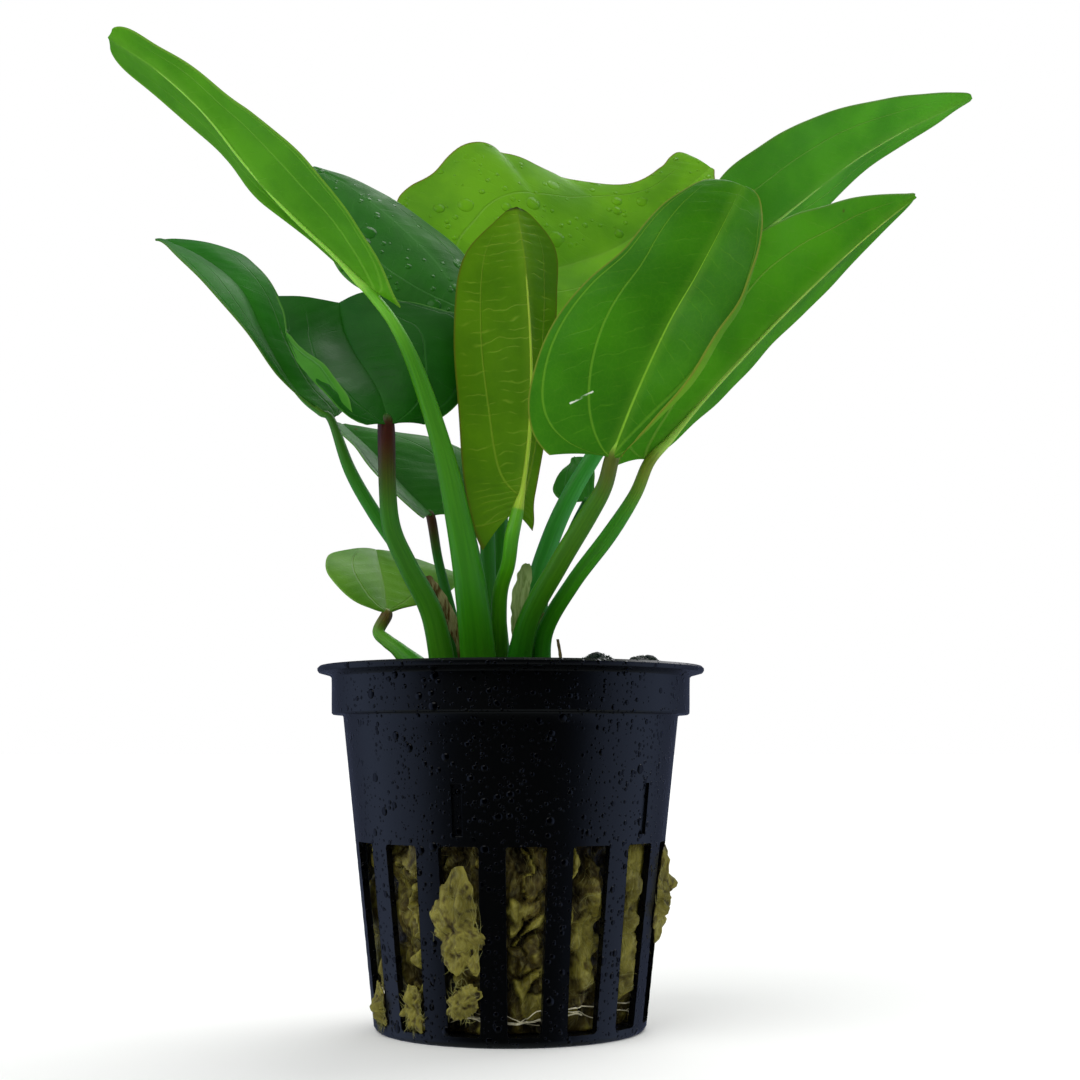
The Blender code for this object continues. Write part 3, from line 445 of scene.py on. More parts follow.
def shell_skin(upper, lower, under, **fields):
    """Closed shell: an upper and a lower sheet on the same grid and a strip round
    their common border. The field named under is 0 above and 1 below."""
    rows, cols = upper.shape[:2]
    count = rows * cols
    index = np.arange(count).reshape(rows, cols)
    top = np.stack([index[:-1, :-1], index[:-1, 1:], index[1:, 1:], index[1:, :-1]], -1).reshape(-1, 4)
    rim = np.concatenate([index[0, :-1], index[:-1, -1], index[-1, :0:-1], index[:0:-1, 0]])
    ahead = np.roll(rim, -1)
    strip = np.stack([rim, rim + count, ahead + count, ahead], -1)
    flat = {n: np.tile(np.broadcast_to(f, (rows, cols)).ravel(), 2) for n, f in fields.items()}
    flat[under] = np.repeat((0.0, 1.0), count)
    return dict(points=np.concatenate([upper.reshape(-1, 3), lower.reshape(-1, 3)]),
                quads=np.concatenate([top, top[:, ::-1] + count, strip]),
                tris=np.zeros((0, 3), int), fields=flat)


def strands(paths, radii, **fields):
    """Many three-sided tubes at once. paths is count by rows by 3. Each ring is set
    square to the path's own direction, and a triangle closes each end."""
    count, rows = paths.shape[:2]
    along = unit(np.gradient(paths, axis=1))
    lean = np.abs(along[:, :, 2]).mean(1) > 0.8
    guide = np.where(lean[:, None], (1.0, 0.0, 0.0), (0.0, 0.0, 1.0))[:, None, :]
    first = unit(np.cross(guide, along))
    second = np.cross(along, first)
    turn = turns(3)
    spoke = np.cos(turn)[:, None] * first[:, :, None] + np.sin(turn)[:, None] * second[:, :, None]
    points = paths[:, :, None] + radii[:, :, None, None] * spoke
    index = np.arange(count * rows * 3).reshape(count, rows, 3)
    ahead = np.roll(index, -1, axis=2)
    quads = np.stack([index[:, :-1], ahead[:, :-1], ahead[:, 1:], index[:, 1:]], -1)
    tris = np.concatenate([index[:, 0, ::-1], index[:, -1]])
    flat = {n: np.repeat(np.broadcast_to(f, (count, rows)).ravel(), 3) for n, f in fields.items()}
    return dict(points=points.reshape(-1, 3), quads=quads.reshape(-1, 4), tris=tris, fields=flat)


def put(name, skin, finish, replaces=(), crease_deg=60.0):
    """Makes the object, gives it its fields as attributes, and lets it ride."""
    mesh = bpy.data.meshes.new(name)
    points = np.asarray(skin["points"], np.float32)
    quads = np.asarray(skin["quads"], np.int32)
    tris = np.asarray(skin["tris"], np.int32)
    corners = np.concatenate([quads.ravel(), tris.ravel()])
    sizes = np.concatenate([np.full(len(quads), 4), np.full(len(tris), 3)])
    mesh.vertices.add(len(points))
    mesh.vertices.foreach_set("co", points.ravel())
    mesh.loops.add(len(corners))
    mesh.loops.foreach_set("vertex_index", corners)
    mesh.polygons.add(len(sizes))
    mesh.polygons.foreach_set("loop_start", np.concatenate([[0], np.cumsum(sizes)[:-1]]))
    mesh.update(calc_edges=True)
    mesh.validate()
    for key, values in skin["fields"].items():
        kind = "FLOAT_VECTOR" if values.ndim == 2 else "FLOAT"
        layer = mesh.attributes.new(key, kind, "POINT")
        layer.data.foreach_set("vector" if values.ndim == 2 else "value",
                               values.astype(np.float32).ravel())
    mesh.shade_smooth()
    mesh.set_sharp_from_angle(angle=math.radians(crease_deg))
    mesh.materials.append(finish)
    piece = bpy.data.objects.new(name, mesh)
    bpy.context.scene.collection.objects.link(piece)
    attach(piece, "root")
    if replaces:
        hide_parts(*replaces)
    return piece


# Leaves

def rib_frame(leaf, t):
    """Midrib point, direction, sideways and upper side normal at t from 0 to 1."""
    n = len(leaf["rib"]) - 1
    t = np.asarray(t, float)
    here = through(leaf["rib"], t * n)
    ahead = through(leaf["rib"], np.minimum(t + 0.001, 1.0) * n)
    behind = through(leaf["rib"], np.maximum(t - 0.001, 0.0) * n)
    along = unit(ahead - behind)
    face = unit(leaf["face"][0]) * (1 - t[..., None]) + unit(leaf["face"][1]) * t[..., None]
    up = unit(face - (face * along).sum(-1, keepdims=True) * along)
    return here, along, np.cross(along, up), up


def half_profile(q, bow, roll, strength):
    """Cross-section of one half, from midrib to margin (q and reach 0 to 1): it arches
    by bow between the two, and between the start and the end of the roll its slope
    turns up to the given angle. Where the roll is weaker its strip is narrower, and the
    columns stay with it. The running sums of the slope's cosine and sine give the
    outline, scaled so that its widest point is at 1. Returns out, rise and reach."""
    start, end, turn = roll
    crest = (start + end) / 2 if turn else 0.5
    strength = strength if turn else np.ones_like(strength)
    slope = np.radians(turn) * ease(start, end, q) * ease(0.0, 0.2, strength)
    strip = (1 - crest) * strength
    to_crest, beyond = (np.interp(q, (0, crest, 1), ends) for ends in ((0, 1, 1), (0, 0, 1)))
    reach = to_crest * (1 - strip) + beyond * strip
    step = np.diff(reach, axis=1, prepend=0.0)
    out = np.cumsum(np.cos(slope) * step, axis=1)
    rise = np.cumsum(np.sin(slope) * step, axis=1)
    widest = out.max(axis=1, keepdims=True)
    return out / widest, rise / widest + bow * 4 * reach * (1 - reach), reach


def blade_sheet(leaf, rows, half_columns):
    """Middle surface of a blade. Rows run from base to tip, closer at both ends, and
    columns from margin to margin, closer at the midrib. A point lies off the midrib
    by its half width along the fold, is arched, rolled and waved, and near the base
    is drawn back into the lobe and near the tip forward by the horn. Returns the
    points, s (0 to 1 by row), v (-1 to 1 from margin to margin), the half widths, t
    (the share of the midrib at each row) and the midrib's length."""
    s = np.linspace(0, 1, rows)[:, None]
    q = np.linspace(0, 1, half_columns) ** 1.3
    v = np.zeros((rows, 2 * half_columns - 1))
    t = 0.5 - 0.5 * np.cos(np.pi * s)
    here, along, side, up = rib_frame(leaf, t[:, 0])
    rolls = leaf.get("roll", ((0.9, 1.0, 0), (0.9, 1.0, 0)))
    strength = 0.01 + 0.99 * ease(0.0, 0.26, s) * (1 - ease(0.40, 0.74, s))
    out, rise, half, back = (np.zeros_like(v) for _ in range(4))
    for k, columns in enumerate((slice(half_columns - 1, None, -1), slice(half_columns - 1, None))):
        x, z, reach = half_profile(q[None, :], leaf["bow"][k], rolls[k], strength)
        widths = leaf["left" if k == 0 else "right"]
        width = through(widths, s * (len(widths) - 1))
        amount, number, start = leaf["wave"]
        z = z + amount * MM / np.maximum(width, 0.002) * reach ** 2 * np.sin(
            2 * np.pi * number * t + start + 2.0 * k) * ease(0, 0.15, s)
        fold = np.radians(np.interp(t, (0, 1), np.broadcast_to(leaf["fold"][k], 2)))
        sign = -1.0 if k == 0 else 1.0
        out[:, columns] = sign * width * (x * np.cos(fold) - z * np.sin(fold))
        rise[:, columns] = width * (x * np.sin(fold) + z * np.cos(fold))
        v[:, columns] = sign * reach
        half[:, columns] = width
        horn = leaf.get("horn", (0.0, 0.0))[k]
        back[:, columns] = reach ** 1.5 * (leaf["lobe"][k] * (1 - s) ** 3 - horn * s ** 3)
    points = (here[:, None] + side[:, None] * out[..., None] + up[:, None] * rise[..., None]
              - along[:, None] * back[..., None])
    length = np.linalg.norm(np.diff(here, axis=0), axis=1).sum()
    return points, s, v, half, t, length


def sheet_normals(points):
    """Normal at each grid point: sideways difference crossed with lengthways one."""
    return unit(np.cross(np.gradient(points, axis=1), np.gradient(points, axis=0)))


def blade_skin(leaf):
    """Blade as a closed shell. Its fields are distances in mm: across from the
    midrib, along from the base, to the margin, and to each side vein."""
    points, s, v, half, t, length = blade_sheet(leaf, BLADE_ROWS, HALF_COLUMNS)
    across = v * half / MM
    along = np.broadcast_to(t * length / MM, across.shape)
    normal = sheet_normals(points)
    spacing, slope, strength = leaf.get("ladder", LADDER)
    bars = np.sin(2 * np.pi * (along + slope * np.abs(across)) / spacing + field(points, 0.008, 11))
    quilt = 0.045 * strength * bars * ease(0.0, 0.12, np.abs(v)) * (1 - ease(0.75, 1.0, np.abs(v)))
    quilt = quilt + 0.10 * field(points, 0.011, 12) * ease(0, 0.3, np.abs(v))
    points = points + normal * (quilt * MM * ease(0, 0.1, s))[..., None]
    thick = (BLADE_THICK_MM + (MARGIN_THICK_MM - BLADE_THICK_MM) * np.abs(v) ** 0.7) * MM / 2
    fields = dict(across=across, along=along, edge=(1 - np.abs(v)) * half / MM,
                  share=np.broadcast_to(t, across.shape))
    veins = leaf.get("veins", SIDE_VEINS)
    for k in range(len(SIDE_VEINS)):
        goal, leave, pace = veins[k] if k < len(veins) else (NO_VEIN, 0.0, 1.0)
        centre = goal * (1 - np.exp(-np.maximum(s - leave, 0) / pace))
        fields["vein_%d" % k] = (v - centre) * half / MM + NO_VEIN * (s < leave)
    if leaf.get("scar"):
        (x0, y0), (x1, y1) = leaf["scar"]
        x, y, wide, tall = across - x0, along - y0, x1 - x0, y1 - y0
        near = np.clip((x * wide + y * tall) / (wide ** 2 + tall ** 2), 0, 1)
        fields["scar"] = np.hypot(x - near * wide, y - near * tall)
    offset = normal * thick[..., None]
    return shell_skin(points + offset, points - offset, under="under", **fields)


def stalk_skin(leaf):
    """Stalk and midrib in one tapering tube: from the crown along the stalk's path,
    under the base of the blade, then along the midrib to the tip, sunk in the
    blade so that a thin line shows above and a ridge below. The section is a soft
    three-sided round, flattened where it clasps the crown. The field reach is 0 at
    the foot, 1 at the blade's base and 2 at the tip; skin is a seamless place on
    the surface in mm."""
    rib_steps = np.array((0.0, 0.06, 0.16, 0.32, 0.5, 0.7, 0.88, 0.985))
    here, _, _, up = rib_frame(leaf, rib_steps)
    base_radius = leaf["radii"][-1]
    taper = np.array((1.0, 0.62, 0.50, 0.40, 0.30, 0.21, 0.13, 0.06)) * leaf["midrib"] * 1.15 * MM
    taper[0] = base_radius
    taper[1] = 0.5 * base_radius + 0.5 * taper[1]
    sink = np.array((0.55, 0.75, 0.8, 0.8, 0.8, 0.8, 0.8, 0.8))
    foot = leaf["foot"]
    start = [(foot[0], foot[1], STALK_FOOT), (foot[0], foot[1], STALK_FOOT + 0.0030)]
    centres = np.vstack([start, leaf["path"], here - up * (taper * sink)[:, None]])
    radii = np.concatenate([leaf["radii"][:-1], taper])
    base = len(start) + len(leaf["path"])
    u = np.concatenate([np.linspace(0, base, STALK_RINGS // 2, endpoint=False),
                        np.linspace(base, len(centres) - 1, STALK_RINGS // 2)])
    line = through(centres, u)
    size = np.maximum(through(radii, u), 0.00004)
    reach = np.where(u <= base, u / base, 1 + (u - base) / (len(centres) - 1 - base))
    run = np.concatenate([[0], np.cumsum(np.linalg.norm(np.diff(line, axis=0), axis=1))]) / MM
    direction = unit(np.gradient(line, axis=0))
    across = unit(np.cross((0.0, 1.0, 0.0), direction))
    depth = np.cross(direction, across)
    turn = turns(STALK_SIDES)
    clasp = 1 + 0.15 * (1 - ease(0.0, 0.35, reach))[:, None]
    soft = 1 + 0.05 * np.cos(3 * turn + 0.6) * (1 - ease(0.8, 1.0, reach))[:, None]
    wide = size[:, None] * soft * clasp * np.cos(turn)
    deep = size[:, None] * soft / clasp * np.sin(turn)
    rings = line[:, None] + across[:, None] * wide[..., None] + depth[:, None] * deep[..., None]
    skin = np.stack(np.broadcast_arrays(np.cos(turn) * 1.6, np.sin(turn) * 1.6, run[:, None]), -1)
    return rings_skin(rings, reach=np.broadcast_to(reach[:, None], skin.shape[:2]), skin=skin)


def sheath_skin(sheath, seed):
    """Papery strip made as a narrow blade with a ragged margin and a torn tip."""
    width = np.array(sheath["width"])
    strip = dict(rib=sheath["rib"], face=sheath["face"], fold=(14, 14), lobe=(0.0, 0.0),
                 left=width, right=width, bow=(0.10, 0.10), wave=(0.12, 3.0, 0.0))
    points, _, v, half, t, _ = blade_sheet(strip, 61, 8)
    ragged = 1 + 0.07 * field(points, 0.0016, seed) * np.abs(v)
    centre = points[:, 7:8]
    points = centre + (points - centre) * ragged[..., None]
    normal = sheet_normals(points)
    points = points + normal * (0.07 * MM * field(points * (1, 1, 0.2), 0.0006, seed + 1))[..., None]
    offset = normal * 0.00005
    return shell_skin(points + offset, points - offset, under="under", across=v * half / MM,
                      share=np.broadcast_to(t, half.shape))


# Pot

def wall_outside(z):
    """Radius of the wall's outer face at a height."""
    return BASE_RADIUS + WALL_SLOPE * np.asarray(z, float)


def wall_inside(z):
    """Radius of the wall's inner face at a height."""
    return wall_outside(z) - WALL


def beside_slots(z):
    """Whether a height lies between the slots' ends, both included."""
    return (z >= SLOT_BOTTOM - 1e-9) & (z <= SLOT_TOP + 1e-9)


def slot_phase(angle):
    """Degrees from the middle of the nearest slot."""
    return (np.degrees(angle) - SLOT_FIRST_DEG + SLOT_PITCH_DEG / 2) % SLOT_PITCH_DEG - SLOT_PITCH_DEG / 2


def slot_half(z):
    """Half width of a slot at a height, drawn in at its rounded corners."""
    share = np.clip((z - SLOT_BOTTOM) / (SLOT_TOP - SLOT_BOTTOM), 0, 1)
    half = (SLOT_WIDTH_LOW + (SLOT_WIDTH_HIGH - SLOT_WIDTH_LOW) * share) / 2
    short = np.clip(SLOT_CORNER - np.minimum(z - SLOT_BOTTOM, SLOT_TOP - z), 0, SLOT_CORNER)
    return half - np.where(beside_slots(z), SLOT_CORNER - np.sqrt(SLOT_CORNER ** 2 - short ** 2), 0.0)


def pot_skin():
    """Turned profile, outside from the base to the rim and back down the inside, on a
    grid whose columns follow the slots' edges. The slots' faces are left out and
    their sides joined from the outer wall to the inner one, and small guide marks
    are pressed in above every third slot."""
    wall_z = np.concatenate([
        [0.0006, 0.0010, SLOT_BOTTOM], SLOT_BOTTOM + SLOT_CORNER * np.array((0.1, 0.35, 0.7, 1.0)),
        np.linspace(0.003, 0.0245, 20), SLOT_TOP - SLOT_CORNER * np.array((1.0, 0.7, 0.35, 0.1)),
        [SLOT_TOP, 0.0266, MARK_LOW - MARK_EDGE, MARK_LOW + MARK_EDGE],
        np.linspace(0.0285, 0.0330, 5), [MARK_HIGH - MARK_EDGE, MARK_HIGH + MARK_EDGE],
        np.linspace(0.0352, COLLAR_BOTTOM - 0.0003, 6)])
    outer = np.stack([wall_outside(wall_z), wall_z], -1)
    inner = np.stack([wall_inside(wall_z), wall_z], -1)[2:][::-1]
    low = [(0.0, 0.0), (0.0060, 0.0), (0.0120, 0.0), (BASE_RADIUS - 0.0012, 0.0),
           (BASE_RADIUS - 0.0005, 0.0), (BASE_RADIUS - 0.0002, 0.0002)]
    high = [(BODY_TOP_RADIUS + 0.0001, COLLAR_BOTTOM - 0.0001), (BODY_TOP_RADIUS + 0.0004, COLLAR_BOTTOM),
            (COLLAR_RADIUS - 0.0002, COLLAR_BOTTOM), (COLLAR_RADIUS, COLLAR_BOTTOM + 0.0002),
            (COLLAR_RADIUS + 0.00003, COLLAR_BOTTOM + 0.0015), (COLLAR_RADIUS + 0.00006, RIM_UNDER - 0.0012),
            (COLLAR_RADIUS + 0.0001, RIM_UNDER - 0.0003), (COLLAR_RADIUS + 0.0004, RIM_UNDER),
            (RIM_RADIUS - 0.0002, RIM_TOP - 0.0009), (RIM_RADIUS, RIM_TOP - 0.0006),
            (RIM_RADIUS, RIM_TOP - 0.0003), (RIM_RADIUS - 0.0003, RIM_TOP),
            (COLLAR_RADIUS + 0.0002, RIM_TOP), (COLLAR_RADIUS - 0.0005, RIM_TOP - 0.0001),
            (COLLAR_RADIUS - WALL, RIM_TOP - 0.0006), (COLLAR_RADIUS - WALL, RIM_TOP - 0.0030),
            (COLLAR_RADIUS - WALL, COLLAR_BOTTOM + WALL + 0.0003),
            (COLLAR_RADIUS - WALL - 0.0003, COLLAR_BOTTOM + WALL),
            (BODY_TOP_RADIUS - WALL + 0.0002, COLLAR_BOTTOM + WALL * 0.7)]
    floor = [(0.0120, FLOOR), (0.0060, FLOOR), (0.0, FLOOR)]
    profile = np.vstack([low, outer, high, inner, floor])
    first_outer = len(low)
    first_inner = len(low) + len(outer) + len(high)
    radius = profile[1:-1, 0]
    height = profile[1:-1, 1]

    sector = math.radians(SLOT_PITCH_DEG)
    clamp = np.clip(height, SLOT_BOTTOM, SLOT_TOP)
    edge = slot_half(clamp) / wall_outside(clamp)
    mark = MARK_HALF_WIDTH / wall_outside(MARK_LOW)
    inward = np.array((0.30, 0.55)) * 0.62
    slot_share = np.concatenate([-1 + inward, [-0.42]])
    fine = MARK_EDGE / wall_outside(MARK_LOW)
    marks = np.array((-mark - fine, -mark + fine, 0.0, mark - fine, mark + fine))
    left = edge[:, None] * slot_share + np.zeros((len(edge), 1))
    rib = sector / 2 - edge[:, None]
    columns = np.concatenate([
        -edge[:, None] - rib * np.array((1.0, 0.66, 0.33)), -edge[:, None], left,
        np.broadcast_to(marks, (len(edge), 5)), -left[:, ::-1], edge[:, None],
        edge[:, None] + rib * np.array((0.33, 0.66))], axis=1)
    per = columns.shape[1]
    centres = np.radians(SLOT_FIRST_DEG) + np.arange(SLOT_COUNT) * sector
    angle = (centres[None, :, None] + columns[:, None, :]).reshape(len(radius), -1)
    marked = (np.arange(SLOT_COUNT) % MARK_EVERY == MARK_EVERY - 1)[None, :, None]
    at_mark = ((height > MARK_LOW) & (height < MARK_HIGH))[:, None, None]
    in_mark = (np.abs(columns)[:, None, :] < mark) & at_mark
    is_outer = (np.arange(1, len(profile) - 1) < first_outer + len(outer))[:, None, None]
    dent = np.where(in_mark & marked & is_outer, MARK_DEPTH, 0.0).reshape(len(radius), -1)
    rings = round_axis(radius[:, None] - dent, angle, height[:, None])
    skin = rings_skin(rings)

    rows, cols = rings.shape[:2]
    slot_rows = np.flatnonzero(beside_slots(wall_z))
    out_rows = first_outer - 1 + slot_rows
    in_rows = first_inner - 1 + (len(wall_z) - 1 - slot_rows)
    col_from, col_to = 3, per - 3
    quad_row = np.repeat(np.arange(rows - 1), cols)
    quad_col = np.tile(np.arange(cols), rows - 1) % per
    in_slot = (quad_col >= col_from) & (quad_col < col_to)
    gone = in_slot & (((quad_row >= out_rows[0]) & (quad_row < out_rows[-1]))
                      | ((quad_row >= in_rows[-1]) & (quad_row < in_rows[0])))
    keep = skin["quads"][~gone]
    span = np.arange(col_from, col_to + 1)
    wide, tall = len(span) - 1, len(slot_rows) - 1
    loop_row = np.concatenate([np.zeros(wide, int), np.arange(tall), np.full(wide, tall),
                               np.arange(tall, 0, -1)])
    loop_col = np.concatenate([span[:-1], np.full(tall, col_to), span[:0:-1], np.full(tall, col_from)])
    sides = []
    for k in range(SLOT_COUNT):
        place = (loop_col + k * per) % cols
        o = out_rows[loop_row] * cols + place
        i = in_rows[loop_row] * cols + place
        sides.append(np.stack([np.roll(o, -1), o, i, np.roll(i, -1)], -1))
    skin["quads"] = np.concatenate([keep] + sides)
    return skin


# Rock wool

def all_folds():
    """The folds of the front slots, and seeded ones of the same kind in the others."""
    rng = np.random.default_rng(35)
    rest = [(SLOT_FIRST_DEG + SLOT_PITCH_DEG * slot + rng.uniform(-6, 6), rng.uniform(3, 25),
             rng.uniform(0.8, 2.6), rng.uniform(2.0, 5.5), rng.uniform(-30, 30), rng.uniform(1.2, 2.3),
             rng.uniform(0, 0.45))
            for slot in range(3, 12) for _ in range(7)]
    return FOLDS + tuple(rest)


def wool_side(angle, z):
    """Radius of the wool's side and how dark it is (0 to 1). Between the folds it lies
    back from the wall. A fold is half an ellipse in section, its outline warped by smooth
    random fields, and where folds overlap the highest one is seen. The darkness is partly
    painted shade: dark where the wool lies back, darker towards each fold's edge, lighter
    on raised places."""
    flat = wall_inside(z) - WOOL_OFF_WALL
    edge = np.degrees(slot_half(np.clip(z, SLOT_BOTTOM, SLOT_TOP)) / wall_outside(z))
    clear = 1 - ease(*SWELL_WIDTH, np.abs(slot_phase(angle)) / edge)
    clear = clear * ease(*SWELL_FOOT, z) * (1 - ease(*SWELL_HEAD, z))
    place = round_axis(flat, angle, z)
    fine = field(place * (1, 1, 0.7), 0.0014, 33)
    shift = 0.0005 * field(place, 0.0040, 31) + 0.00016 * fine
    lift = 0.0008 * field(place, 0.0050, 32) + 0.00020 * fine
    swell = field(place * (1, 1, 0.6), 0.0048, 37)
    stand = np.zeros(place.shape[:-1])
    # Painted shade: the wool lying back between the folds starts dark, and is lighter where swell also
    # pushes it out.
    dark = 0.70 - 0.30 * np.clip(swell, -0.8, 1.2)
    for degrees, height, wide, tall, tilt, out, tone in all_folds():
        x = np.radians((np.degrees(angle) - degrees + 180.0) % 360.0 - 180.0) * FOLD_RADIUS + shift
        y = z - height * MM + lift
        c, s = math.cos(math.radians(tilt)), math.sin(math.radians(tilt))
        away = ((x * c + y * s) / (wide * MM)) ** 2 + ((y * c - x * s) / (tall * MM)) ** 2
        dome = np.sqrt(np.clip(1 - away, 0, 1))
        level = out * MM * dome
        # Each fold takes its own listed darkness, plus painted shade towards its edge where it sinks back.
        dark = np.where(level > stand, tone + 0.30 * (1 - dome), dark)
        stand = np.maximum(stand, level)
    ridge = np.clip(1 - np.abs(field(place * (1, 1, 0.45), 0.0030, 34)) / 0.5, 0, 1)
    grain = field(place * (1, 1, 0.8), 0.0008, 36)
    radius = flat - WOOL_RECESS + stand + 0.00022 * ridge + 0.00010 * fine + 0.00008 * grain + 0.0006 * swell
    # fine and grain, which also raise the surface, lighten it where they rise, and the ridges below do the
    # same: painted light on raised places.
    dark = dark - 0.07 * fine - 0.06 * grain
    radius = np.minimum(radius, flat + WOOL_BULGE * clear)
    return radius, np.clip(dark - 0.12 * ridge, 0, 1)


def wool_skin():
    """Plug: a disc below, the creased side, a matted top and the hollow, all turned
    round the pot's axis, with the side's radius from wool_side."""
    cols = 420
    angle = turns(cols)
    shoulder = WOOL_TOP - WOOL_SHOULDER
    side_z = np.concatenate([np.linspace(WOOL_LOW + 0.0004, 0.0270, 120), np.linspace(0.0280, shoulder, 20)])
    side, deep = wool_side(angle[None, :], side_z[:, None])
    top_share = np.linspace(0, 1, 27)[1:, None]
    low = np.linspace(0.25, 0.985, 4)[:, None] * side[0]
    top = side[-1] * (1 - top_share) + HOLLOW_RADIUS * top_share
    place = round_axis(top, angle, 0.0)
    mat = field(place, 0.0050, 41) * 0.00045 + field(place, 0.0016, 42) * 0.00018
    rise = shoulder + np.sqrt(np.clip(1 - (1 - np.minimum(top_share * 6, 1)) ** 2, 0, 1)) * 0.0006
    top_z = np.minimum(rise + mat * ease(0, 0.15, top_share) - 0.0001, WOOL_TOP)
    bowl_share = np.linspace(0, 1, 16)[1:-1, None]
    bowl = HOLLOW_RADIUS * (1 - bowl_share) * np.ones((1, cols))
    place = round_axis(bowl, angle, 0.0)
    bowl_z = top_z[-1:] + (HOLLOW_FLOOR - top_z[-1:]) * ease(0, 0.16, bowl_share) + (
        field(place, 0.0022, 43) * 0.00012 * ease(0.1, 0.3, bowl_share))
    height = np.vstack([np.full(low.shape, WOOL_LOW), np.broadcast_to(side_z[:, None], side.shape),
                        top_z, bowl_z])
    shade = np.vstack([np.full(low.shape, 0.6), deep, np.clip(0.35 - mat / 0.0012, 0, 1),
                       np.full(bowl.shape, 0.55)])
    return rings_skin(round_axis(np.vstack([low, side, top, bowl]), angle, height), deep=shade)


def tuft_skin(angle_deg, height, outline, stand, seed):
    """Lump of wool outside the wall: a closed cushion whose outline is a smooth loop
    through the given radii, thick in the middle and thin at its torn margin, with
    a neck that passes in through the slot."""
    cols, rows = 96, 30
    turn = turns(cols)
    loop = np.array(outline + outline[:1]) * MM
    reach = through(loop, np.arange(cols) / cols * len(outline))
    circle = np.stack([np.cos(turn), np.sin(turn), turn * 0], -1)
    reach = reach * (1 + 0.06 * field(circle, 0.50, seed) + 0.04 * field(circle, 0.20, seed + 4))
    share = np.linspace(0, 1, rows)[:, None]
    rho = np.where(share < 0.5, ease(0, 1, share * 2) * 0.96 + 0.04, 1 - 0.96 * ease(0, 1, share * 2 - 1))
    flat_x = rho * reach * np.cos(turn)
    flat_z = rho * reach * np.sin(turn)
    spread = np.stack([flat_x, flat_z, np.zeros_like(flat_x)], -1)
    puff = stand * MM * (1 - rho ** 2.2) * (0.66 + 0.36 * field(spread * (1.4, 0.7, 1), 0.0026, seed + 1))
    middling = field(spread, 0.0013, seed + 2)
    small = field(spread, 0.0006, seed + 3)
    puff = puff + (0.00015 * middling + 0.00005 * small) * (1 - rho ** 4) + 0.00025
    slot = slot_half(np.array(height)) - 0.0006
    neck = -TUFT_NECK * (1 - ease(0.35, 0.6, rho)) + 0.00012
    outer = share < 0.5
    lift = np.where(outer, neck, puff)
    squeeze = np.where(outer & (rho < 0.5), np.minimum(1.0, slot / np.maximum(np.abs(flat_x), 1e-6)), 1.0)
    x = flat_x * squeeze
    z = height + flat_z
    r = wall_outside(z) + lift
    angle = math.radians(angle_deg) + x / wall_outside(z)
    rings = round_axis(r, angle, z)
    # Painted shade: the cushion is darker along its creases and in its low spots, where middling and small
    # sink, and the neck tucked in through the slot is set dark.
    crease_shade = np.clip(1 - np.abs(field(spread, 0.0030, seed + 1)) / 0.3, 0, 1)
    hollow = 0.16 - 0.12 * middling - 0.10 * small + 0.40 * crease_shade * (1 - rho ** 2)
    deep = np.where(outer, 0.8, np.clip(hollow, 0, 1))
    return rings_skin(rings, deep=np.broadcast_to(deep, rings.shape[:2]))


def walks(course, length):
    """Way gone sideways and forwards by walks that head where course says and have the
    given length in all."""
    step = length[:, None] / (course.shape[1] - 1)
    return np.cumsum(np.cos(course) * step, axis=1), np.cumsum(np.sin(course) * step, axis=1)


def wool_strands(count, seed):
    """Loose fibres that lie on the wool's side: each walks over the surface in a
    gently turning direction, lifted a little at its ends."""
    rng = np.random.default_rng(seed)
    rows = 8
    slot = rng.integers(0, SLOT_COUNT, count)
    angle = np.radians(SLOT_FIRST_DEG + slot * SLOT_PITCH_DEG + rng.uniform(-6.5, 6.5, count))
    z = rng.uniform(0.0025, 0.0250, count)
    heading = rng.normal(np.pi / 2, 0.75, count)
    bend = rng.normal(0, 0.55, count)
    length = rng.uniform(*SIDE_FIBRE[0], count)
    share = np.linspace(0, 1, rows)[None, :]
    dx, dz = walks(heading[:, None] + bend[:, None] * share, length)
    height = np.clip(z[:, None] + dz, *SIDE_HEIGHTS)
    turn = angle[:, None] + dx / 0.021
    phase = slot_phase(turn)
    limit = np.degrees((slot_half(height) - 0.0003) / wall_outside(height))
    turn = turn - np.radians(phase - np.clip(phase, -limit, limit))
    radius, deep = wool_side(turn, height)
    radius = radius + 0.00006 + 0.00035 * rng.uniform(0, 1, (count, 1)) * (2 * share - 1) ** 4
    paths = round_axis(radius, turn, height)
    thick = rng.uniform(*SIDE_FIBRE[1], (count, 1)) * MM * (1 - 0.6 * np.abs(2 * share - 1) ** 3)
    # Each fibre takes half the darkness of the wool under it, painted shade included.
    return strands(paths, thick, deep=deep * 0.5)


def top_strands(count, seed):
    """Loose fibres matted over the top of the wool."""
    rng = np.random.default_rng(seed)
    rows = 7
    angle = rng.uniform(0, 2 * np.pi, count)
    radius = rng.uniform(0.0128, 0.0222, count)
    heading = rng.uniform(0, 2 * np.pi, count)
    length = rng.uniform(*TOP_FIBRE[0], count)
    share = np.linspace(0, 1, rows)[None, :]
    dx, dy = walks(heading[:, None] + rng.normal(0, 1.0, (count, 1)) * share, length)
    x = (radius * np.sin(angle))[:, None] + dx
    y = (-radius * np.cos(angle))[:, None] + dy
    away = np.hypot(x, y)
    limit = np.clip(away, *TOP_RADII) / away
    z = WOOL_TOP - 0.0003 + rng.uniform(0, 0.0005, (count, 1)) * np.sin(np.pi * share)
    paths = np.stack([x * limit, y * limit, z], -1)
    thick = rng.uniform(*TOP_FIBRE[1], (count, 1)) * MM * (1 - 0.6 * np.abs(2 * share - 1) ** 3)
    return strands(paths, thick, deep=np.full((count, rows), 0.15))


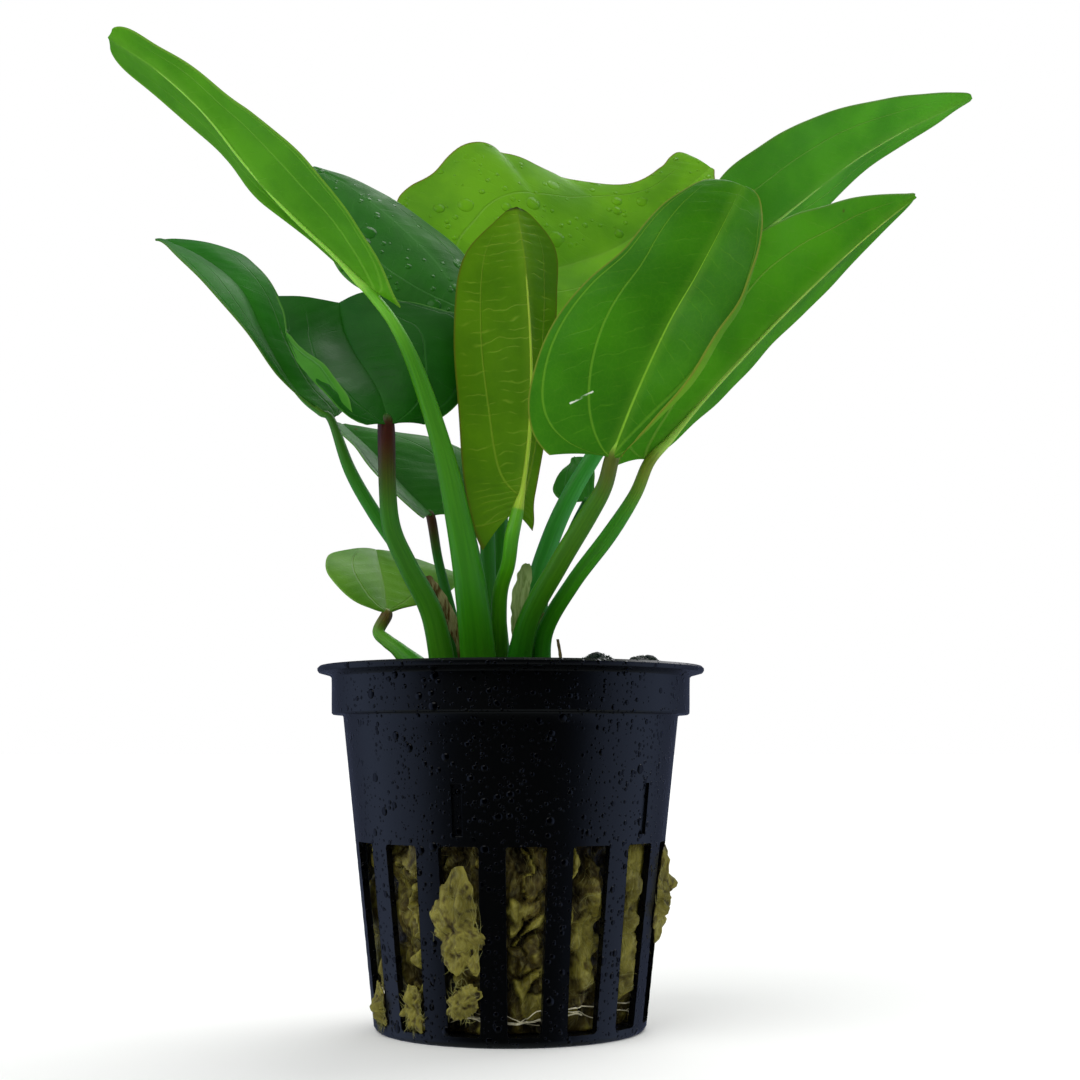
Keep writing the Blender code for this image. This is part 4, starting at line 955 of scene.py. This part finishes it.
def fringe_strands(angle_deg, height, size, count, seed):
    """Short fibres that stand out round a tuft's torn margin, pointing away from it."""
    rng = np.random.default_rng(seed)
    rows = 6
    turn = rng.uniform(0, 2 * np.pi, count)
    start = rng.uniform(0.55, 0.95, count) * size
    length = rng.uniform(*FRINGE_FIBRE[0], count)
    share = np.linspace(0, 1, rows)[None, :]
    away = start[:, None] + length[:, None] * share
    course = turn[:, None] + rng.normal(0, 0.5, (count, 1)) * share
    z = height + away * np.sin(course) * 1.25
    x = away * np.cos(course) * 0.75
    r = wall_outside(z) + 0.0002 + 0.0007 * rng.uniform(0, 1, (count, 1)) * share
    angle = math.radians(angle_deg) + x / wall_outside(z)
    paths = round_axis(r, angle, np.maximum(z, 0.0006))
    thick = rng.uniform(*FRINGE_FIBRE[1], (count, 1)) * MM * (1 - 0.8 * share)
    return strands(paths, thick, deep=np.zeros((count, rows)))


def root_strands(count, seed):
    """Pale roots that run round the foot of the plug, inside the wall, and wander
    up and down between the floor and the lower end of the slots."""
    rng = np.random.default_rng(seed)
    rows = 40
    share = np.linspace(0, 1, rows)[None, :]
    angle = rng.uniform(0, 2 * np.pi, (count, 1)) + rng.choice((-1, 1), (count, 1)) * rng.uniform(
        0.35, 0.95, (count, 1)) * share
    wander = sum(
        rng.normal(0, 1.0 / k, (count, 1)) * np.sin(k * np.pi * share + rng.uniform(0, 6, (count, 1)))
        for k in (1, 2, 3, 5))
    height = np.clip(0.0026 + rng.uniform(0, 0.0020, (count, 1)) + 0.0009 * wander, *ROOT_HEIGHTS)
    radius = np.minimum(wool_side(angle, height)[0] + 0.0005, wall_inside(height) - 0.0002)
    paths = round_axis(radius, angle, height)
    thick = rng.uniform(*ROOT_RADIUS, (count, 1)) * MM * (1 - 0.5 * share)
    return strands(paths, thick, deep=np.zeros((count, rows)))


# Crown, moss and sprout

def crown_skin():
    """Rootstock: a low round block, lumpy in plan, with a domed, ringed top."""
    cols, rows = 120, 26
    turn = turns(cols)
    share = np.linspace(0, 1, rows)[:, None]
    rho = np.where(share < 0.45, 0.82 + 0.17 * share / 0.45, 1 - ease(0.45, 1.0, share) * 0.93)
    z = CROWN_LOW + (CROWN_TOP - CROWN_LOW - 0.0002) * ease(0, 0.55, share)
    lumpy = 1 - 0.06 * (0.5 + 0.5 * np.sin(5 * turn)) - 0.02
    x = CROWN_CENTRE[0] + CROWN_RADIUS * rho * lumpy * np.cos(turn)
    y = CROWN_CENTRE[1] + CROWN_RADIUS * 0.80 * rho * lumpy * np.sin(turn)
    points = np.stack([x, y, np.broadcast_to(z, x.shape)], -1)
    points[..., 2] += 0.00015 * field(points, 0.0022, 51) * ease(0.4, 0.6, share)
    return rings_skin(points, deep=np.clip(0.4 + 0.3 * field(points, 0.0020, 52), 0, 1))


def moss_skin(centre, half, seed):
    """Moss lump: a lumpy ball under hundreds of short pointed leaflets, each a thin
    spike from the ball's surface leaning upwards."""
    rng = np.random.default_rng(seed)
    cols, rows = 32, 16
    turn = turns(cols)
    tilt = np.linspace(-0.48, 0.48, rows)[:, None] * np.pi
    ball = np.stack(np.broadcast_arrays(
        np.cos(tilt) * np.cos(turn), np.cos(tilt) * np.sin(turn), np.sin(tilt)), -1)
    ball = ball * (0.84 + 0.07 * field(ball, 0.9, seed))[..., None]
    # The ball under the leaflets is set fully dark: painted shade inside the lump.
    body = rings_skin(np.array(centre) + ball * half, deep=np.full((rows, cols), 1.0))
    count = 900
    way = unit(rng.normal(size=(count, 3)) * (1, 1, 0.8) + (0, 0, 0.35))
    tip = unit(way + rng.normal(0, 0.45, (count, 3)) + (0, 0, 0.25))
    share = np.linspace(0, 1, 4)[None, :, None]
    length = rng.uniform(0.07, 0.17, (count, 1, 1))
    paths = np.array(centre) + (way[:, None] * 0.82 + tip[:, None] * length * share) * half
    thick = rng.uniform(0.05, 0.10, (count, 1)) * MM * (1 - share[..., 0] ** 2 * 0.9)
    # Each leaflet is darker towards its foot: painted shade among the leaflets.
    leaves = strands(paths, thick, deep=0.8 - 0.8 * share[..., 0] * rng.uniform(0.4, 1, (count, 1)))
    return merge(body, leaves)


def sprout_skin():
    """Dry stem: a thin tapering tube with a slight kink at each joint."""
    u = np.linspace(0, len(SPROUT_PATH) - 1, 40)
    line = through(SPROUT_PATH, u)
    size = 0.00030 * (1 - 0.35 * u / u[-1]) * (1 + 0.15 * np.cos(u * 7.0) ** 8)
    turn = turns(12)
    rings = line[:, None] + size[:, None, None] * np.stack(
        [np.cos(turn), np.sin(turn), 0 * turn], -1)[None]
    run = np.broadcast_to(u[:, None] / u[-1], rings.shape[:2])
    return rings_skin(rings, deep=run)


# Materials

# What a word after a node's kind sets, and what a kind is set to unless told otherwise
NODE_MODES = {"Math": "operation", "VectorMath": "operation", "Mix": "blend_type",
              "MapRange": "interpolation_type", "TexVoronoi": "feature"}
NODE_SETTINGS = {"Mix": {"data_type": "RGBA"}, "MapRange": {"interpolation_type": "SMOOTHSTEP"}}


def linear(hex_colour):
    """sRGB hex to linear RGBA."""
    values = [int(hex_colour[i:i + 2], 16) / 255 for i in (1, 3, 5)]
    return tuple(v / 12.92 if v <= 0.04045 else ((v + 0.055) / 1.055) ** 2.4 for v in values) + (1.0,)


def add_node(tree, kind, *inputs, out=None, named=None, **settings):
    """Adds a node with its settings and links. A word after its kind is its mode. Its
    open sockets take the inputs in their order and the named ones by name, each a
    value or another node's output. Returns the output asked for, or the first."""
    kind, _, mode = kind.partition(" ")
    node = tree.nodes.new("ShaderNode" + kind)
    settings = {**NODE_SETTINGS.get(kind, {}), **settings}
    if mode:
        settings[NODE_MODES[kind]] = mode
    for key, value in settings.items():
        setattr(node, key, value)
    pairs = list(zip([s for s in node.inputs if s.enabled], inputs))
    pairs += [(node.inputs[key], value) for key, value in (named or {}).items()]
    for socket, value in pairs:
        if isinstance(value, bpy.types.NodeSocket):
            tree.links.new(value, socket)
        else:
            socket.default_value = value
    return node.outputs[out] if out else next((s for s in node.outputs if s.enabled), None)


def new_material(name):
    """An empty material, and the function that adds nodes to it."""
    mat = bpy.data.materials.new(name)
    mat.use_nodes = True
    mat.node_tree.nodes.clear()
    return mat, functools.partial(add_node, mat.node_tree)


def per_mm(size):
    """Scale of a pattern whose cells are this many millimetres across."""
    return 1 / (size * MM)


def beads(add, place, size_mm, share, seed):
    """Domes of standing beads: inside a cell of a Voronoi pattern, distance from the
    cell's point below a random radius makes a dome. Returns height 0 to 1."""
    shift = add("Mapping", place, named={"Location": (seed, seed * 0.7, seed * 0.3)})
    away = add("TexVoronoi F1", shift, per_mm(size_mm))
    size = add("SeparateColor", away.node.outputs["Color"])
    radius = add("MapRange LINEAR", size, 1.0 - share, 1.0, 0.0, 0.42)
    part = add("Math DIVIDE", away, add("Math MAXIMUM", radius, 0.02))
    dome = add("Math SUBTRACT", 1.0, add("Math MULTIPLY", part, part), use_clamp=True)
    return add("Math MULTIPLY", add("Math SQRT", dome), add("MapRange", radius, 0.06, 0.14))


def blade_material(name, leaf):
    """Living leaf: a waxy cuticle over green tissue, IOR about 1.42, satin. Light
    passes through it yellower than it is reflected. Parallel side veins run in
    their own distance fields, cross veins 1.3 to 2.4 mm apart join them, and the
    finest net of veins has meshes of 0.9 mm."""
    mat, add = new_material("living leaf, waxy cuticle, " + name)
    place = add("TexCoord", out="Object")
    across, along, under, share, edge = (add("Attribute", attribute_name=key, out="Fac")
                                         for key in ("across", "along", "under", "share", "edge"))
    off_rib = add("Math ABSOLUTE", across)

    veins = 0.0
    vein_half = add("MapRange", share, 0.0, 0.9, 0.30, 0.12)
    for k, strength in enumerate((1.0, 1.0, 0.7, 0.7)):
        away = add("Math ABSOLUTE", add("Attribute", attribute_name="vein_%d" % k, out="Fac"))
        line = add("Math SUBTRACT", 1.0, add("Math DIVIDE", away, vein_half), use_clamp=True)
        line = add("MapRange", line, 0.0, 0.8)
        veins = add("Math MAXIMUM", veins, add("Math MULTIPLY", line, strength))
    veins = add("Math MULTIPLY", veins, add("MapRange", share, 0.75, 0.97, 1.0, 0.0))
    core_half = add("MapRange", share, 0.0, 0.95, 0.30, 0.10)
    core = add("Math DIVIDE", off_rib, core_half)
    core = add("MapRange", core, 0.45, 1.0, leaf.get("core", 0.30), 0.0)
    core = add("Math MULTIPLY", core, add("MapRange", share, 0.90, 0.985, 1.0, 0.0))

    spacing, slope, strength = leaf.get("ladder", LADDER)
    run = add("Math ADD", along, add("Math MULTIPLY", off_rib, slope))
    wander = add("TexNoise", place, per_mm(3.846), 2.0)
    run = add("Math ADD", run, add("Math MULTIPLY", wander, 2.4))
    bar = add("MapRange", add("Math PINGPONG", run, spacing / 2), 0.0, 0.16, 1.0, 0.0)
    broken = add("TexNoise", place, per_mm(2.381), 1.0)
    for factor in (add("MapRange", broken, 0.42, 0.6), add("MapRange", edge, 0.3, 2.0), strength):
        bar = add("Math MULTIPLY", bar, factor)
    net = add("MapRange", add("TexVoronoi DISTANCE_TO_EDGE", place, per_mm(0.9091)), 0.0, 0.12, 1.0, 0.0)

    side_colour = add("Mix", under, linear(leaf["upper"]), linear(leaf["under"]))
    # Painted shade: on the under side, beyond turned mm from the margin, the crease colour darkens the
    # rolled-over margin's crest.
    if leaf.get("turned"):
        inside = add("MapRange", edge, leaf["turned"] - 0.3, leaf["turned"] + 0.2)
        in_crease_shade = add("Math MULTIPLY", inside, under)
        side_colour = add("Mix", in_crease_shade, side_colour, linear(leaf["crease_shade"]))
    darker = add("Mix MULTIPLY", 1.0, side_colour, (0.80, 0.84, 0.80, 1.0))
    lighter = add("Mix MULTIPLY", 1.0, side_colour, (1.22, 1.10, 1.05, 1.0))
    patch = add("TexNoise", place, per_mm(10.53), 3.0, 0.55)
    colour = add("Mix", add("MapRange", patch, 0.32, 0.68), darker, lighter)

    spot = add("TexVoronoi F1", place, per_mm(5.882))
    chosen = add("SeparateColor", spot.node.outputs["Color"])
    freckle = add("Math MULTIPLY", add("MapRange", spot, 0.02, 0.08, 0.75, 0.0),
                  add("Math GREATER_THAN", chosen, 0.86))
    layers = [(add("MapRange", off_rib, 0.2, 1.4, 0.14, 0.0), leaf["vein"]),
              (add("Math MULTIPLY", net, 0.03), leaf["vein"]),
              (add("Math MULTIPLY", bar, leaf.get("bars", 0.20)), leaf["vein"]),
              (add("Math MULTIPLY", veins, leaf.get("lines", 0.44)), leaf["vein"]),
              (core, leaf["vein"]),
              (add("MapRange", edge, 0.05, 0.35, 0.8, 0.0), leaf["margin"]),
              (freckle, "#5a4412")]
    if leaf.get("tip"):
        layers.append((add("MapRange", share, 0.984, 0.997, 0.0, 0.9), leaf["tip"]))
    if leaf.get("scar"):
        scratch = add("Attribute", attribute_name="scar", out="Fac")
        layers.append((add("MapRange", scratch, 0.06, 0.20, 1.0, 0.0), "#f4f8ec"))
    for amount, tint in layers:
        colour = add("Mix", amount, colour, linear(tint))

    grain = add("TexNoise", place, per_mm(0.6667), 2.0)
    relief = add("Math MULTIPLY", veins, -0.10)
    relief = add("Math MULTIPLY", relief, add("MapRange", under, 0.4, 0.6, 1.0, -1.0))
    for pattern, height in ((bar, -0.05), (net, -0.004), (grain, 0.03)):
        relief = add("Math ADD", relief, add("Math MULTIPLY", pattern, height))
    gloss = add("MapRange", add("TexNoise", place, per_mm(6.25), 2.0), 0.3, 0.7, 0.38, 0.52)
    if leaf.get("dew"):
        big = beads(add, place, 3.6, 0.55, 3.1)
        small = beads(add, place, 1.3, 0.60, 7.7)
        cluster = add("TexNoise", place, per_mm(18.18), 1.0)
        where = add("MapRange", cluster, 0.60 - 0.30 * leaf["dew"], 0.72 - 0.30 * leaf["dew"])
        where = add("Math MULTIPLY", where, add("Math SUBTRACT", 1.0, under))
        drop = add("Math MAXIMUM", big, add("Math MULTIPLY", small, 0.5))
        drop = add("Math MULTIPLY", drop, where)
        relief = add("Math ADD", relief, add("Math MULTIPLY", drop, 0.45))
        wet = add("MapRange", drop, 0.0, 0.15)
        gloss = add("Math SUBTRACT", gloss, add("Math MULTIPLY", wet, 0.30))
    bump = add("Bump", named={"Strength": 0.9, "Distance": MM, "Height": relief})
    body = add("BsdfPrincipled", named={"Base Color": colour, "Roughness": gloss, "IOR": 1.42,
                                        "Specular IOR Level": leaf.get("shine", 0.15), "Normal": bump})
    through_colour = add("Mix MULTIPLY", 1.0, colour, (1.45, 1.25, 0.55, 1.0))
    lit = add("BsdfTranslucent", through_colour, bump)
    add("OutputMaterial", add("MixShader", leaf["glow"], body, lit))
    return mat


def stalk_material(name, leaf):
    """Leaf stalk: smooth wet skin over pale pith, IOR about 1.42. The colour runs from
    the foot to the blade and on into the pale midrib, with fine lengthways lines
    about 0.3 mm apart from the bundles under the skin."""
    mat, add = new_material("leaf stalk, smooth skin, " + name)
    reach = add("Attribute", attribute_name="reach", out="Fac")
    skin = add("Attribute", attribute_name="skin", out="Vector")
    foot, middle, top, vein = (linear(c) for c in (*leaf["stalk"], leaf["vein"]))
    colour = add("Mix", 0.35, foot, linear("#9cc46a"))
    for low, high, tint in ((0.02, 0.22, foot), (0.2, 0.6, middle), (0.72, 0.97, top), (1.0, 1.12, vein)):
        colour = add("Mix", add("MapRange", reach, low, high), colour, tint)
    stretched = add("Mapping", skin, named={"Scale": (2.2, 2.2, 0.06)})
    lines = add("TexNoise", stretched, 1.6, 3.0)
    darker = add("Mix MULTIPLY", 1.0, colour, (0.86, 0.90, 0.86, 1.0))
    lighter = add("Mix MULTIPLY", 1.0, colour, (1.14, 1.08, 1.06, 1.0))
    colour = add("Mix", add("MapRange", lines, 0.34, 0.66), darker, lighter)
    bump = add("Bump", named={"Strength": 0.5, "Distance": 0.15 * MM, "Height": lines})
    add("OutputMaterial", add("BsdfPrincipled", named={
        "Base Color": colour, "Roughness": 0.38, "IOR": 1.42, "Specular IOR Level": 0.30, "Normal": bump,
        "Subsurface Weight": 0.25, "Subsurface Radius": (0.35, 1.0, 0.15), "Subsurface Scale": 1.2 * MM}))
    return mat


def pot_material():
    """Polypropylene coloured with carbon black, injection moulded: IOR 1.49, satin,
    with a fine orange peel of about 1 mm, and wet with standing beads that are up
    to 1.4, 0.8 and 0.5 mm across."""
    mat, add = new_material("moulded black polypropylene, wet")
    place = add("TexCoord", out="Object")
    drop = beads(add, place, 1.7, 0.46, 1.3)
    for size, share, seed, height in ((0.95, 0.72, 5.9, 0.55), (0.60, 0.85, 9.1, 0.3)):
        drop = add("Math MAXIMUM", drop, add("Math MULTIPLY", beads(add, place, size, share, seed), height))
    cluster = add("TexNoise", place, per_mm(8.333), 1.0)
    drop = add("Math MULTIPLY", drop, add("MapRange", cluster, 0.30, 0.46))
    peel = add("TexNoise", place, per_mm(1.111), 2.0)
    relief = add("Math ADD", add("Math MULTIPLY", drop, 0.36), add("Math MULTIPLY", peel, 0.005))
    bump = add("Bump", named={"Strength": 1.0, "Distance": MM, "Height": relief})
    body = add("BsdfPrincipled", named={"Base Color": linear("#020304"), "Roughness": 0.32, "IOR": 1.49,
                                        "Specular IOR Level": 0.25, "Normal": bump})
    water = add("BsdfPrincipled", named={"Base Color": linear("#000001"), "Roughness": 0.07, "IOR": 1.33,
                                         "Specular IOR Level": 0.22, "Normal": bump})
    add("OutputMaterial", add("MixShader", add("MapRange", drop, 0.0, 0.12), body, water))
    return mat


def wool_material():
    """Rock wool: spun mineral fibre, wet and stained olive by algae. Fibres of a few
    microns are drawn as streaks 0.2 to 0.4 mm wide. Folds let some light in. The folds are
    painted light and the creases and hollows dark brown, as painted shade."""
    mat, add = new_material("rock wool, algae stained")
    place = add("TexCoord", out="Object")
    deep = add("Attribute", attribute_name="deep", out="Fac")
    swirl = add("TexNoise", place, per_mm(5.263), 2.0, out="Color")
    bent = add("VectorMath MULTIPLY_ADD", swirl, (6 * MM, 6 * MM, 6 * MM), place)
    stretched = add("Mapping", bent, named={"Scale": (1.0, 1.0, 0.25)})
    fibre = add("TexNoise", stretched, per_mm(0.3846), 3.0)
    clump = add("TexNoise", stretched, per_mm(1.111), 4.0, 0.6)
    stain = add("MapRange", add("TexNoise", place, per_mm(4.167), 3.0), 0.35, 0.65)
    light = add("Mix", stain, linear("#625c1c"), linear("#857f34"))
    middle = add("Mix", stain, linear("#332a07"), linear("#524718"))
    # Painted shade: the wool goes from the light tone through the middle one to dark brown as its darkness
    # rises, darkest in recesses, creases and the hollow.
    colour = add("Mix", add("MapRange", deep, 0.10, 0.50), light, middle)
    colour = add("Mix", add("MapRange", deep, 0.45, 0.95), colour, linear("#140b01"))
    colour = add("Mix", add("MapRange", fibre, 0.45, 0.75, 0.0, 0.14), colour, linear("#b9b87a"))
    shaded = add("Mix MULTIPLY", 1.0, colour, (0.36, 0.32, 0.24, 1.0))
    colour = add("Mix", add("MapRange", clump, 0.30, 0.55, 0.55, 0.0), colour, shaded)
    rough = add("Math ADD", add("Math MULTIPLY", fibre, 0.25), add("Math MULTIPLY", clump, 0.9))
    bump = add("Bump", named={"Strength": 0.9, "Distance": 0.8 * MM, "Height": rough})
    add("OutputMaterial", add("BsdfPrincipled", named={
        "Base Color": colour, "Roughness": 0.50, "IOR": 1.5, "Specular IOR Level": 0.22, "Normal": bump,
        "Subsurface Weight": 0.3, "Subsurface Radius": (1.0, 0.9, 0.35), "Subsurface Scale": 0.8 * MM}))
    return mat


def fibre_material(name, light, dark, roughness):
    """Thin plant or mineral fibre, light to dark by its darkness field: painted shade
    where it lies deep in the wool or the moss, its own tone on the rootstock and the dry stem.
    """
    mat, add = new_material(name)
    deep = add("Attribute", attribute_name="deep", out="Fac")
    mottle = add("TexNoise", add("TexCoord", out="Object"), per_mm(1.429), 2.0)
    uneven = add("Math MULTIPLY", add("Math SUBTRACT", mottle, 0.5), 0.9)
    amount = add("Math ADD", deep, uneven, use_clamp=True)
    colour = add("Mix", amount, linear(light), linear(dark))
    bump = add("Bump", named={"Strength": 0.4, "Distance": 0.2 * MM, "Height": mottle})
    add("OutputMaterial", add("BsdfPrincipled", named={
        "Base Color": colour, "Roughness": roughness, "IOR": 1.45, "Normal": bump}))
    return mat


def sheath_material(name, light, dark):
    """Dried leaf sheath: papery and matt, light shows through it, with brown bundles
    about 0.3 mm apart running its length and a darker torn tip."""
    mat, add = new_material("dried sheath, papery, " + name)
    across, share = (add("Attribute", attribute_name=key, out="Fac") for key in ("across", "share"))
    stretched = add("Mapping", add("TexCoord", out="Object"), named={"Scale": (1.0, 1.0, 0.12)})
    streak = add("TexNoise", stretched, per_mm(0.4167), 2.0)
    bundle = add("MapRange", add("Math PINGPONG", across, 0.15), 0.0, 0.05, 0.35, 0.0)
    amount = add("Math ADD", add("MapRange", streak, 0.4, 0.62), bundle, use_clamp=True)
    amount = add("Math MAXIMUM", amount, add("MapRange", share, 0.82, 1.0, 0.0, 0.9))
    colour = add("Mix", amount, linear(light), linear(dark))
    bump = add("Bump", named={"Strength": 0.6, "Distance": 0.15 * MM, "Height": streak})
    body = add("BsdfPrincipled", named={"Base Color": colour, "Roughness": 0.7, "IOR": 1.4, "Normal": bump})
    add("OutputMaterial", add("MixShader", 0.35, body, add("BsdfTranslucent", colour, bump)))
    return mat


# Stage

def sun(name, comes_from, strength, width_deg):
    """Far soft light, even over the whole floor. comes_from points at the light."""
    lamp = bpy.data.lights.new(name, "SUN")
    lamp.energy = strength
    lamp.angle = math.radians(width_deg)
    ob = bpy.data.objects.new(name, lamp)
    bpy.context.scene.collection.objects.link(ob)
    ob.rotation_mode = "QUATERNION"
    ob.rotation_quaternion = Vector(comes_from).to_track_quat("Z", "Y")


def build_stage():
    """Pale floor without a visible edge, white surroundings, two soft lights from
    above, and for reflections a studio that is dark in front, bluish at the sides
    and light above. The floor stays out of reflections, as a black cloth in front of
    the pot would keep it."""
    scene = bpy.context.scene
    mesh = bpy.data.meshes.new("floor")
    reach = 60.0
    corners = [(-reach, -reach, 0), (reach, -reach, 0), (reach, reach, 0), (-reach, reach, 0)]
    mesh.from_pydata(corners, [], [(0, 1, 2, 3)])
    mat, add = new_material("pale studio floor")
    add("OutputMaterial", add("BsdfDiffuse", linear("#f7f7f5")))
    mesh.materials.append(mat)
    floor = bpy.data.objects.new("floor", mesh)
    scene.collection.objects.link(floor)
    floor.visible_glossy = False

    world = bpy.data.worlds.new("studio")
    world.use_nodes = True
    scene.world = world
    world.node_tree.nodes.clear()
    add = functools.partial(add_node, world.node_tree)
    way = add("SeparateXYZ", add("TexCoord", out="Generated")).node.outputs
    front = add("Math MULTIPLY", way["Y"], -1.0)
    ring = add("Mix", add("MapRange", front, -0.80, -0.15), (0.10, 0.12, 0.20, 1.0), (0.56, 0.70, 1.10, 1.0))
    ring = add("Mix", add("MapRange", front, 0.30, 0.68), ring, (0.002, 0.003, 0.005, 1.0))
    height = add("Math ABSOLUTE", way["Z"])
    mirrored = add("Mix", add("MapRange", height, 0.45, 0.85), ring, (0.26, 0.29, 0.30, 1.0))
    rays = add("LightPath").node.outputs
    colour = add("Mix", rays["Is Glossy Ray"], (0.60, 0.61, 0.62, 1.0), mirrored)
    colour = add("Mix", rays["Is Camera Ray"], colour, (1.0, 1.0, 1.0, 1.0))
    add("OutputWorld", add("Background", colour, 1.0))
    sun("light from behind", (0.35, 0.55, 0.75), 1.5, 50)
    sun("light from the front", (-0.45, -0.50, 0.75), 1.2, 50)

    cam = bpy.data.cameras.new("photograph")
    cam.lens = CAMERA_LENS_MM
    cam.sensor_width = 36.0
    cam.clip_start = 0.01
    eye = bpy.data.objects.new("photograph", cam)
    scene.collection.objects.link(eye)
    eye.location = CAMERA_PLACE
    eye.rotation_euler = (math.radians(90 + CAMERA_TILT_DEG), 0, 0)
    scene.camera = eye
    scene.view_settings.view_transform = "Standard"


def build_plant():
    """Leaves with their stalks, dry sheaths, rootstock, moss and the dry stem."""
    for name, leaf in LEAVES.items():
        title = name.replace("_", " ")
        blade, stalk = blade_material(title, leaf), stalk_material(title, leaf)
        put("leaf_" + name, blade_skin(leaf), blade, ["blade_" + name])
        put("petiole_" + name, stalk_skin(leaf), stalk, ["stalk_" + name])
    for k, (name, sheath) in enumerate(SHEATHS.items()):
        papery = sheath_material(name.replace("_", " "), *sheath["dry"])
        put("dry_" + name, sheath_skin(sheath, 61 + 5 * k), papery, [name])
    rootstock = fibre_material("rootstock, rough and fibrous", "#8a7a4a", "#2a1f0e", 0.8)
    put("rootstock", crown_skin(), rootstock, ["crown"])
    moss = fibre_material("moss leaflets, wet", "#26482a", "#060d09", 0.6)
    for k, (name, (centre, half)) in enumerate(MOSS.items()):
        put(name + "_lump", moss_skin(centre, half, 71 + k), moss, [name])
    dry = fibre_material("dry stem", "#7a7a3c", "#4a3a18", 0.75)
    put("dry_stem", sprout_skin(), dry, ["dry_sprout"])


def build_pot_and_wool():
    """Pot with its moulded edges softened, wool plug with its tufts, fibres and roots."""
    pot = put("slotted_pot", pot_skin(), pot_material(), ["net_pot"], crease_deg=40.0)
    soften = pot.modifiers.new("edges", "BEVEL")
    soften.width = 0.00010
    soften.segments = 2
    soften.limit_method = "ANGLE"
    soften.angle_limit = math.radians(50)
    tufts = [tuft_skin(*tuft, seed=81 + 7 * k) for k, tuft in enumerate(TUFTS)]
    put("wool_plug", merge(wool_skin(), *tufts), wool_material(), ["rock_wool"])
    loose = [wool_strands(320, 91), top_strands(500, 92)]
    for k, (angle, height, outline, _) in enumerate(TUFTS):
        loose.append(fringe_strands(angle, height, np.mean(outline) * MM, 46, 93 + k))
    mineral = fibre_material("loose mineral fibre", "#8c8a4c", "#332c0e", 0.5)
    put("wool_fibres", merge(*loose), mineral)
    pale = fibre_material("young root, pale", "#e6e0c0", "#8a7a4a", 0.4)
    put("roots", root_strands(46, 99), pale)


build_stage()
build_pot_and_wool()
build_plant()
